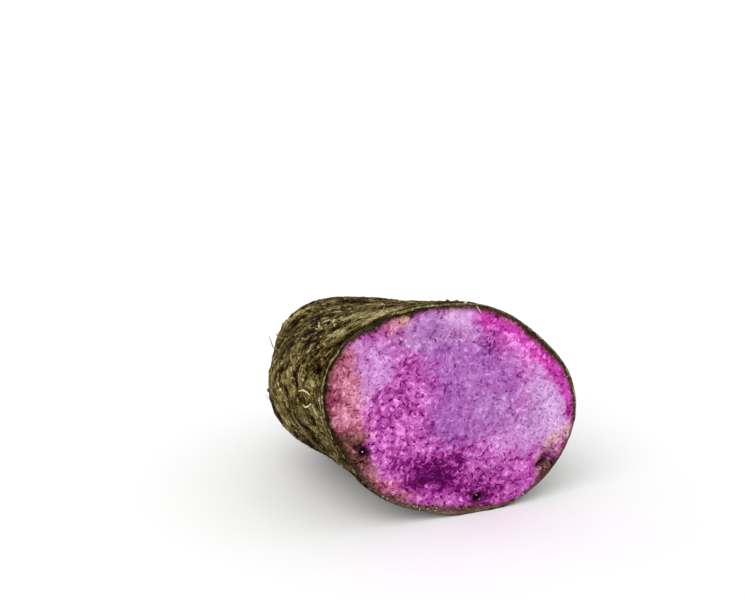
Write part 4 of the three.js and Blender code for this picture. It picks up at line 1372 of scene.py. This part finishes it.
    lipv = total(
        k, k.attr("lipt"), k.m("MULTIPLY", total(
            k, spread(k, k.noise(k.warp(p, 0.6, 1.0), 0.9, 3.0, 0.65), 0.13, 11.0), spread(k, finest, 0.06, 9.5),
        ), k.m("SUBTRACT", 1.0, k.m("MULTIPLY", rusty, 0.65))),
        spread(k, k.noise(along.outputs[0], 1.0, 1.0), 0.08, 9.5), -0.03,
    )
    lipcol = k.ramp(lipv, (
        (0.15, dry(26, 18, 8)), (0.35, dry(58, 47, 26)), (0.5, dry(94, 83, 56)), (0.65, dry(134, 124, 92)),
        (0.8, lin(154, 146, 118)), (0.95, lin(190, 182, 156)),
    ))
    lip_on = k.m("SUBTRACT", 1.0, k.step(k.m("SUBTRACT", k.m("ADD", rim, k.m("MULTIPLY", edge_noise, 0.4)), lipw), -0.15, 0.2))
    lipcol = k.mix(k.m("MULTIPLY", rusty, 0.9), lipcol, k.ramp(lipv, (
        (0.15, lin(46, 30, 24)), (0.35, lin(80, 60, 48)), (0.5, lin(110, 88, 70)), (0.65, lin(134, 110, 90)),
        (0.8, lin(158, 134, 114)), (0.95, lin(196, 176, 160)),
    )))
    col = k.mix(lip_on, col, lipcol)
    gl, own = k.strokes(k.vm("ADD", plane, (1.0, 1.0, 0.0)), 1.3, 0.2, 0.16, 12, 0.75)
    gl = k.m("MULTIPLY", gl, k.m("LESS_THAN", own, 0.42))
    col = k.mix(k.m("MULTIPLY", gl, k.step(k.attr("glint"), 0.3, 0.6)), col, lin(226, 214, 208))
    k.put(k.bsdf.inputs["Base Color"], col)
    rough = k.m("SUBTRACT", 0.5, k.m("MULTIPLY", lump, 0.04))
    rough = k.m("ADD", rough, k.m("MULTIPLY", k.m("SUBTRACT", 1.0, flesh_in), 0.3))
    k.put(k.bsdf.inputs["Roughness"], rough)
    k.bsdf.inputs["Specular IOR Level"].default_value = 0.04
    h = total(k, spread(k, fine, 0.1), k.m("MULTIPLY", stroke, -0.3))
    k.put(k.bsdf.inputs["Normal"], k.bump(h, 0.5, 0.35))
    return k.mat


# =========================================================================================
# Loose bark flakes, fibres and rootlets
# =========================================================================================
def scatter(n, gen, tables, lo=0.0, hi=0.9995):
    """n places (a, t) spread evenly over the skin's area between two values of t."""
    ts, tt, girth, run = tables
    area = np.r_[0, np.cumsum(0.5 * (girth[1:] + girth[:-1]) * np.diff(run))]
    keep = (tt >= lo) & (tt <= hi)
    u = gen.uniform(area[keep][0], area[keep][-1], n)
    return gen.uniform(0, 2 * np.pi, n), np.interp(u, area, tt)


def on_skin(a0, t0, along, across, turn, height):
    """Points on the skin at offsets in mm from (a0, t0): turn is the angle of `along` from the
    way round the section. All arrays share a shape (n, m), with a0, t0 and turn (n, 1)."""
    shape = along.shape
    _, _, pa, pt = skin_frame(a0[:, 0], t0[:, 0])
    la = np.linalg.norm(pa, axis=1)[:, None] + 1e-6
    lt = np.linalg.norm(pt, axis=1)[:, None] + 1e-6
    du = along * np.cos(turn) - across * np.sin(turn)
    dv = along * np.sin(turn) + across * np.cos(turn)
    a = (a0 + du / la).ravel()
    t = np.clip((t0 + dv / lt).ravel(), 0.0, 0.9995)
    p, n, _, _ = skin(a, t)
    p = p + n * height.ravel()[:, None]
    p[:, 2] = np.maximum(p[:, 2], 0.02)
    return p.reshape(*shape, 3)


def fibre_turn(a, t, gen, spread):
    """The way the fibres lie at these places, as an angle from the way round the section."""
    p = base(a, to_s(t))
    f = flow_of(a, to_s(t), p)
    return f * (np.pi / 2) * gen.choice([1, -1], len(a)) + gen.normal(0, spread, len(a))


def slivers(name, n, seed, tables, material, length, width, thick, spread, lift, tone, lo=0.0):
    """Closed slivers lying on the skin: 3 sections of 4 points between two tips."""
    gen = np.random.default_rng(seed)
    a0, t0 = scatter(n, gen, tables, lo=lo)
    p0, n0, _, _ = skin_frame(a0, t0)
    keep = gen.uniform(0, 1, n) > 0.5 * in_view(p0, n0)
    a0, t0 = a0[keep], t0[keep]
    n = len(a0)
    turn = fibre_turn(a0, t0, gen, spread)
    L = np.clip(gen.lognormal(math.log(length), 0.42, n), length * 0.35, length * 2.6)
    W = np.clip(gen.lognormal(math.log(width), 0.35, n), width * 0.4, width * 2.2)
    H = thick * gen.uniform(0.6, 1.5, n)
    bend = gen.normal(0, 0.09, n)
    u = np.array([-0.5, -0.3, 0.0, 0.3, 0.5])
    wide = np.array([0.0, 0.8, 1.0, 0.75, 0.0])
    sides_v = np.array([-0.5, -0.38, 0.38, 0.5])
    sides_h = np.array([0, 1, 1, 0])
    up_end = lift * gen.exponential(1.0, n) * (gen.uniform(0, 1, n) < 0.5)
    # lit_top: 0.85 on the top of a sliver, 0 along its edges on the skin, 0.4 at the tips; it paints light on the top
    # and shade at the edges
    along, across, height, lit_top = [], [], [], []
    for k in range(5):
        raise_k = up_end * max(0.0, u[k] / 0.5) ** 1.6
        if k in (0, 4):
            along.append((u[k] * L)[:, None])
            across.append((bend * (u[k] * L) ** 2 * 0.5)[:, None])
            height.append((raise_k + (0.25 * H if k == 4 else -0.03))[:, None])
            lit_top.append(np.full((n, 1), 0.4))
        else:
            shake = gen.uniform(0.75, 1.2, n)
            for v, hh in zip(sides_v, sides_h):
                along.append((u[k] * L)[:, None])
                across.append((v * W * wide[k] * shake + bend * (u[k] * L) ** 2 * 0.5)[:, None])
                height.append((raise_k + (H * gen.uniform(0.7, 1.2, n) if hh else -0.06))[:, None])
                lit_top.append(np.full((n, 1), 0.85 if hh else 0.0))
    along, across, height = (np.concatenate(x, 1) for x in (along, across, height))
    pts = on_skin(a0[:, None], t0[:, None], along, across, turn[:, None], height)
    m = pts.shape[1]
    tri = []
    for j in range(4):
        tri.append((0, 1 + j, 1 + (j + 1) % 4))
        tri.append((13, 9 + (j + 1) % 4, 9 + j))
    for r in (1, 5):
        for j in range(4):
            a_, b_ = r + j, r + (j + 1) % 4
            tri.append((a_, a_ + 4, b_ + 4))
            tri.append((a_, b_ + 4, b_))
    tri = np.array(tri)
    tris = (np.arange(n)[:, None, None] * m + tri[None]).reshape(-1, 3)
    tones = np.clip(gen.normal(tone[0], tone[1], n), 0, 1)
    pale, dark_and_shade = patches(pts[:, 6])
    return make_mesh(
        name, pts.reshape(-1, 3), tris,
        {
            "tone": np.repeat(tones, m), "lit_top": np.concatenate(lit_top, 1).ravel(), "pale": np.repeat(pale, m),
            "dark_and_shade": np.repeat(dark_and_shade, m),
        },
        [material],
    )


def tubes(name, paths, normals, radii, tones, material, sides=5, flat=0.75):
    """One mesh of closed tubes. Each path is (n, 3) mm with an outward direction and a radius
    at each of its points; flat squeezes the tube towards the skin."""
    verts, tris, tone_all = [], [], []
    total = 0
    ang = np.arange(sides) / sides * 2 * np.pi
    for path, nor, rad, tone in zip(paths, normals, radii, tones):
        n = len(path)
        tang = np.gradient(path, axis=0)
        tang /= np.linalg.norm(tang, axis=1, keepdims=True) + 1e-9
        e1 = nor - (nor * tang).sum(1, keepdims=True) * tang
        e1 /= np.linalg.norm(e1, axis=1, keepdims=True) + 1e-9
        e2 = np.cross(tang, e1)
        ring = path[:, None] + rad[:, None, None] * (
            flat * np.cos(ang)[None, :, None] * e1[:, None] + np.sin(ang)[None, :, None] * e2[:, None]
        )
        ends = np.stack([path[0] - tang[0] * rad[0] * 0.6, path[-1] + tang[-1] * rad[-1] * 0.8])
        pts = np.concatenate([ring.reshape(-1, 3), ends])
        pts[:, 2] = np.maximum(pts[:, 2], 0.02)
        a = (np.arange(n - 1)[:, None] * sides + np.arange(sides)[None]).ravel()
        b = (np.arange(n - 1)[:, None] * sides + (np.arange(sides)[None] + 1) % sides).ravel()
        j = np.arange(sides)
        j2 = (j + 1) % sides
        loc = np.concatenate([
            np.stack([a, b, b + sides], 1), np.stack([a, b + sides, a + sides], 1),
            np.stack([np.full(sides, n * sides), j2, j], 1),
            np.stack([np.full(sides, n * sides + 1), (n - 1) * sides + j, (n - 1) * sides + j2], 1),
        ])
        tris.append(loc + total)
        verts.append(pts)
        tone_all.append(np.full(len(pts), tone))
        total += len(pts)
    tone_all = np.concatenate(tone_all)
    verts = np.concatenate(verts)
    pale, dark_and_shade = patches(verts)
    return make_mesh(
        name, verts, np.concatenate(tris),
        {"tone": tone_all, "lit_top": np.full(len(tone_all), 0.5), "pale": pale, "dark_and_shade": dark_and_shade}, [material],
    )


def wander(count, gen, tables, steps, ds, curl0, curl_step, turn0=None, lo=0.0):
    """Paths that wander over the skin, all stepped together: points on it and its normals,
    each (count, steps, 3)."""
    a, t = scatter(count, gen, tables, lo=lo)
    turn = gen.uniform(0, 2 * np.pi, count) if turn0 is None else turn0(a, t)
    curl = gen.normal(0, curl0, count)
    P, N = [], []
    for _ in range(steps):
        q, n, _, _ = skin(a, t)
        _, _, pa, pt = skin_frame(a, t)
        P.append(q)
        N.append(n)
        curl = (curl + gen.normal(0, curl_step, count)) * 0.93
        turn = turn + curl
        a = a + ds * np.cos(turn) / (np.linalg.norm(pa, axis=1) + 1e-6)
        t = np.clip(t + ds * np.sin(turn) / (np.linalg.norm(pt, axis=1) + 1e-6), 0.0, 0.999)
    return np.stack(P, 1), np.stack(N, 1)


def rootlets(name, seed, tables, material, count):
    """Hair-fine roots: most lie along the skin, some stand off it at their far end."""
    gen = np.random.default_rng(seed)
    P, N = wander(count, gen, tables, 28, 0.5, 0.16, 0.07)
    paths, normals, radii, tones = [], [], [], []
    for i in range(count):
        long_one = gen.uniform() < 0.3
        n = int(gen.integers(13, 28) if long_one else gen.integers(6, 13))
        r0 = gen.uniform(0.1, 0.16) if long_one else gen.uniform(0.08, 0.14)
        stick = gen.uniform() < 0.1
        rise_to = gen.uniform(0.6, 1.8) if stick else gen.uniform(0.0, 0.25)
        f = np.linspace(0, 1, n)
        h = r0 * 0.4 + rise_to * (f**1.8 if stick else np.sin(np.pi * f))
        path = P[i, :n] + N[i, :n] * h[:, None]
        path[0] -= N[i, 0] * r0 * 2.2
        paths.append(path)
        normals.append(N[i, :n])
        radii.append(r0 * (1 - 0.72 * f**1.4))
        tones.append(float(np.clip(gen.normal(0.5, 0.2), 0, 1)))
    return tubes(name, paths, normals, radii, tones, material)


def curls(name, seed, tables, material, count):
    """Matted strands of bark: short fat worms that lie on the skin and arch a little off it."""
    gen = np.random.default_rng(seed)

    def start(a, t):
        return fibre_turn(a, t, gen, 0.55)

    P, N = wander(count, gen, tables, 13, 0.42, 0.2, 0.1, start)
    paths, normals, radii, tones = [], [], [], []
    crowd = in_view(P[:, 0], N[:, 0])
    for i in range(count):
        n = int(gen.integers(5, 13))
        r0 = gen.uniform(0.14, 0.3)
        if gen.uniform() < 0.45 * crowd[i]:
            continue
        f = np.linspace(0, 1, n)
        arch = gen.exponential(0.1)
        h = -r0 * 0.15 + arch * np.sin(np.pi * f)
        paths.append(P[i, :n] + N[i, :n] * h[:, None])
        normals.append(N[i, :n])
        radii.append(r0 * (0.25 + 0.75 * np.sin(np.pi * (0.08 + 0.84 * f)) ** 0.8))
        tones.append(float(np.clip(gen.normal(0.5, 0.24), 0, 1)))
    return tubes(name, paths, normals, radii, tones, material, sides=5, flat=0.6)


# ---- strands that are known by where they show: (pixels of the frame, radius at the middle in
# mm, lift off the skin in mm, tone) ----
MARKED = (
    (((299, 392), (301.5, 390), (304.5, 389.5), (307.5, 392), (309.5, 395.5)), 0.36, 0.35, 0.95),
    (((302.5, 405), (305, 407.6), (308, 407.2), (310.2, 403.5)), 0.34, 0.4, 1.0),
    (((303, 394), (304.5, 398), (306.5, 402.5)), 0.3, 0.2, 0.62),
    (((290.8, 352), (291.2, 357), (292.6, 363)), 0.26, 0.2, 0.8),
    (((287, 378), (291, 384), (296, 391)), 0.3, 0.15, 0.62),
    (((300, 383), (303, 386), (301, 388)), 0.24, 0.15, 0.6),
    (((309, 386), (313, 389), (312, 394)), 0.26, 0.15, 0.6),
    (((327, 318), (331, 320), (334, 325)), 0.24, 0.2, 0.72),
    (((334, 326), (336.5, 323)), 0.24, 0.3, 0.9),
    (((331, 313), (336, 311.5), (341, 312)), 0.26, 0.15, 0.75),
    (((322, 410), (325.5, 425), (331, 441), (338, 453), (347, 466), (356, 477)), 0.36, 0.1, 0.5),
    (((317, 392), (318, 408), (322, 425), (328, 440), (336, 455), (346, 468)), 0.3, 0.05, 0.4),
    (((313, 412), (317, 428), (324, 443), (333, 457)), 0.3, 0.05, 0.45),
    (((300, 425), (308, 436), (318, 447), (330, 457)), 0.28, 0.05, 0.5),
    (((291, 418), (300, 430), (311, 441), (322, 450)), 0.26, 0.05, 0.42),
    (((345, 313), (360, 309), (376, 306), (392, 304)), 0.3, 0.0, 0.5),
    (((340, 331), (352, 324), (366, 317), (380, 311)), 0.3, 0.05, 0.55),
    (((338, 338), (349, 330), (362, 323)), 0.26, 0.05, 0.6),
    (((333.3, 323), (334.6, 321.4), (336, 319.8)), 0.36, 0.25, 1.0),
    (((318.5, 321.6), (318.9, 323)), 0.28, 0.15, 0.85), (((318.5, 324.4), (318.3, 326.4)), 0.34, 0.2, 1.0),
    (((315, 328), (317.2, 328.9), (318.6, 327.6)), 0.3, 0.15, 0.92), (((308.4, 327), (310.8, 327.6)), 0.28, 0.1, 0.75),
    (((320.5, 319.6), (324, 317.8), (328.5, 316.8)), 0.32, 0.12, 0.74), (((322, 322), (326, 321.2), (330, 319.4)), 0.36, 0.15, 0.86),
    (((333.6, 312.2), (338, 312.2), (341.6, 311)), 0.3, 0.15, 0.84), (((301, 338), (304.6, 338.2)), 0.36, 0.1, 0.72),
    (((303.2, 379), (303.7, 381)), 0.5, 0.2, 0.9), (((280.8, 388), (281.6, 391.4)), 0.6, 0.15, 0.9),
    (((291.8, 378), (293.8, 378.6)), 0.3, 0.1, 0.75), (((297.4, 373.4), (299, 374.6), (300.6, 378)), 0.28, 0.1, 0.72),
    (((320, 337.4), (321.8, 335.8)), 0.36, 0.1, 0.82), (((322.6, 343), (325.2, 344.6)), 0.28, 0.1, 0.8),
    (((276.4, 334), (279, 337.8), (283, 337.8)), 0.32, 0.2, 0.62),
    (((292, 392), (293, 395)), 0.32, 0.1, 0.72), (((306, 384), (309, 387), (311, 391)), 0.34, 0.1, 0.66),
    (((301, 381), (300, 385), (302, 389)), 0.3, 0.1, 0.6), (((316, 384), (319, 382), (321, 384)), 0.28, 0.1, 0.6),
)


# The first row is a pale fibre; the other four are light beads that paint glints, in the two pits and on the top rim.
FACE_STRANDS_AND_GLINTS = (
    (((476.8, 306), (478.6, 309.5), (481, 312.8)), 0.24, 0.0, 0.86),
    (((362.6, 452.8), (363.6, 452.2)), 0.26, 0.75, 0.95),
    (((464, 302.4), (466.4, 302.2)), 0.34, -0.05, 0.9),
    (((476.6, 495), (477.4, 495.8)), 0.2, 0.5, 0.8), (((479.6, 499.6), (480.4, 499)), 0.16, 0.5, 0.75),
)
FREE_MARKED = (
    ((279, 349), ((275.5, 350), (272.8, 347), (271.2, 342), (269.2, 336.5)), 0.2, 0.66),
    ((281, 338), ((278, 336.5), (276, 333.8)), 0.26, 0.6),
)


def project(p):
    """Pixels of the frame at which these points show."""
    right, up, back = camera_axes()
    rel = p - CAM_LOC
    f = LENS / SENSOR * WIDE / -(rel @ back)
    return np.stack([WIDE / 2 + f * (rel @ right), HIGH / 2 - f * (rel @ up)], 1)


def marked_strands(name, material, find):
    paths, normals, radii, tones = [], [], [], []
    for pix, r0, lift, tone in MARKED:
        at = np.array([find(u, v) for u, v in pix])
        at[:, 0] = np.unwrap(at[:, 0])
        seg = np.r_[0, np.cumsum(np.hypot(*np.diff(np.array(pix, float), axis=0).T))]
        n = max(7, int(seg[-1] / 1.6))
        x = np.linspace(0, seg[-1], n)
        a, t = np.interp(x, seg, at[:, 0]), np.interp(x, seg, at[:, 1])
        for _ in range(2):
            a[1:-1] = (a[:-2] + 2 * a[1:-1] + a[2:]) / 4
            t[1:-1] = (t[:-2] + 2 * t[1:-1] + t[2:]) / 4
        q, nn, _, _ = skin(a % (2 * np.pi), t)
        f = np.linspace(0, 1, n)
        paths.append(q + nn * (lift * np.sin(np.pi * f) + r0 * 0.1)[:, None])
        normals.append(nn)
        ripple = 1 + 0.25 * noise(q / 1.7, 401)
        radii.append(0.92 * r0 * ripple * (0.2 + 0.8 * np.sin(np.pi * (0.05 + 0.9 * f)) ** 0.8))
        tones.append(0.94 * tone)
    # strands, and beads that are painted glints, on the cut face, at a depth in mm behind its plane
    for pix, r0, depth, tone in FACE_STRANDS_AND_GLINTS:
        seg = np.r_[0, np.cumsum(np.hypot(*np.diff(np.array(pix, float), axis=0).T))]
        n = max(6, int(seg[-1] / 1.2))
        x = np.linspace(0, seg[-1], n)
        q = np.array([on_cut(np.interp(k, seg, [w[0] for w in pix]), np.interp(k, seg, [w[1] for w in pix])) for k in x])
        f = np.linspace(0, 1, n)
        paths.append(np.stack([q[:, 0], CUT_Y + depth - 0.15 * np.sin(np.pi * f), q[:, 1]], 1))
        normals.append(np.tile([0.0, -1.0, 0.0], (n, 1)))
        radii.append(r0 * (0.4 + 0.6 * np.sin(np.pi * (0.08 + 0.84 * f)) ** 0.7))
        tones.append(tone)
    # fibres that stand off the skin beside its outline: where each leaves it, then its points
    right, up, _ = camera_axes()
    for root, pix, r0, tone in FREE_MARKED:
        at = np.array(find(*root))
        c, nn, _, _ = skin(at[:1], at[1:])
        mm = -((c[0] - CAM_LOC) @ np.cross(right, up)) / (LENS / SENSOR * WIDE)
        u0, v0 = project(c)[0]
        pts = np.array([c[0] + right * (u - u0) * mm - up * (v - v0) * mm for u, v in pix])
        pts = np.concatenate([c - nn * 0.3, pts])
        seg = np.r_[0, np.cumsum(np.linalg.norm(np.diff(pts, axis=0), axis=1))]
        n = max(8, int(seg[-1] / 0.45))
        x = np.linspace(0, seg[-1], n)
        q = np.stack([np.interp(x, seg, pts[:, j]) for j in range(3)], 1)
        for _ in range(3):
            q[1:-1] = (q[:-2] + 2 * q[1:-1] + q[2:]) / 4
        f = np.linspace(0, 1, n)
        paths.append(q)
        normals.append(np.tile(nn[0], (n, 1)))
        radii.append(r0 * (0.45 + 0.55 * np.sin(np.pi * (0.15 + 0.8 * f))))
        tones.append(tone)
    return tubes(name, paths, normals, radii, tones, material, sides=7, flat=0.8)


# =========================================================================================
# Build
# =========================================================================================
bark = bark_material()
flesh = flesh_material()
STRAW = (
    (0.0, lin(40, 30, 16)), (0.35, lin(92, 78, 46)), (0.6, lin(152, 138, 96)), (0.85, lin(232, 218, 178)),
    (1.0, lin(252, 240, 208)),
)
plate_mat = flake_material("bark_plate", 0.47, 0.6)
curl_mat = flake_material("bark_curl", 0.53, 0.7)
root_mat = straw_material("rootlet", STRAW)

body, tables = build_body(bark, flesh)
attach(body, "root")
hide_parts("half_yam")

plates = slivers("bark_plates", 950, 11, tables, plate_mat, 1.35, 0.8, 0.09, 1.0, 0.03, (0.5, 0.2))
matted = curls("bark_curls", 12, tables, curl_mat, 240)
roots = rootlets("rootlets", 13, tables, root_mat, 80)
marked = marked_strands("bark_strands", root_mat, _find)
for piece in (plates, matted, roots, marked):
    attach(piece, "root")

# =========================================================================================
# Floor, light and camera
# =========================================================================================
k = Nodes("floor_white")
grain = k.noise(k.mm(), 0.02, 3.0, 0.5)
k.put(k.bsdf.inputs["Base Color"], k.mix(grain, (0.945, 0.945, 0.945, 1.0), (0.955, 0.955, 0.955, 1.0)))
k.bsdf.inputs["Roughness"].default_value = 0.9
k.bsdf.inputs["Specular IOR Level"].default_value = 0.1
me = bpy.data.meshes.new("studio_floor")
me.from_pydata([(-4, -4, 0), (4, -4, 0), (4, 4, 0), (-4, 4, 0)], [], [(0, 1, 2, 3)])
me.materials.append(k.mat)
floor = bpy.data.objects.new("studio_floor", me)
floor.location.z = -0.0002
bpy.context.scene.collection.objects.link(floor)

world = bpy.data.worlds.new("studio")
world.use_nodes = True
world.node_tree.nodes["Background"].inputs[0].default_value = (1.0, 1.0, 1.0, 1.0)
world.node_tree.nodes["Background"].inputs[1].default_value = 0.75
bpy.context.scene.world = world


def sun(name, towards, strength, spread):
    """A wide soft lamp far off, shining along `towards`."""
    data = bpy.data.lights.new(name, "SUN")
    data.energy = strength
    data.angle = math.radians(spread)
    o = bpy.data.objects.new(name, data)
    o.rotation_euler = Vector(towards).to_track_quat("-Z", "Y").to_euler()
    bpy.context.scene.collection.objects.link(o)
    return o


sun("key", (0.62, 0.6, -0.74), 1.55, 50)
sun("front", (-0.25, 0.9, -0.35), 0.15, 60)
sun("edge", (0.8, -0.55, -0.2), 0.5, 30)

cam = bpy.data.cameras.new("camera")
cam.lens, cam.sensor_width = LENS, SENSOR
cam.clip_start, cam.clip_end = 0.01, 20.0
camera = bpy.data.objects.new("camera", cam)
camera.location = CAM_LOC * MM
camera.rotation_euler = CAM_ROT
bpy.context.scene.collection.objects.link(camera)
bpy.context.scene.camera = camera
bpy.context.scene.view_settings.view_transform = "Standard"
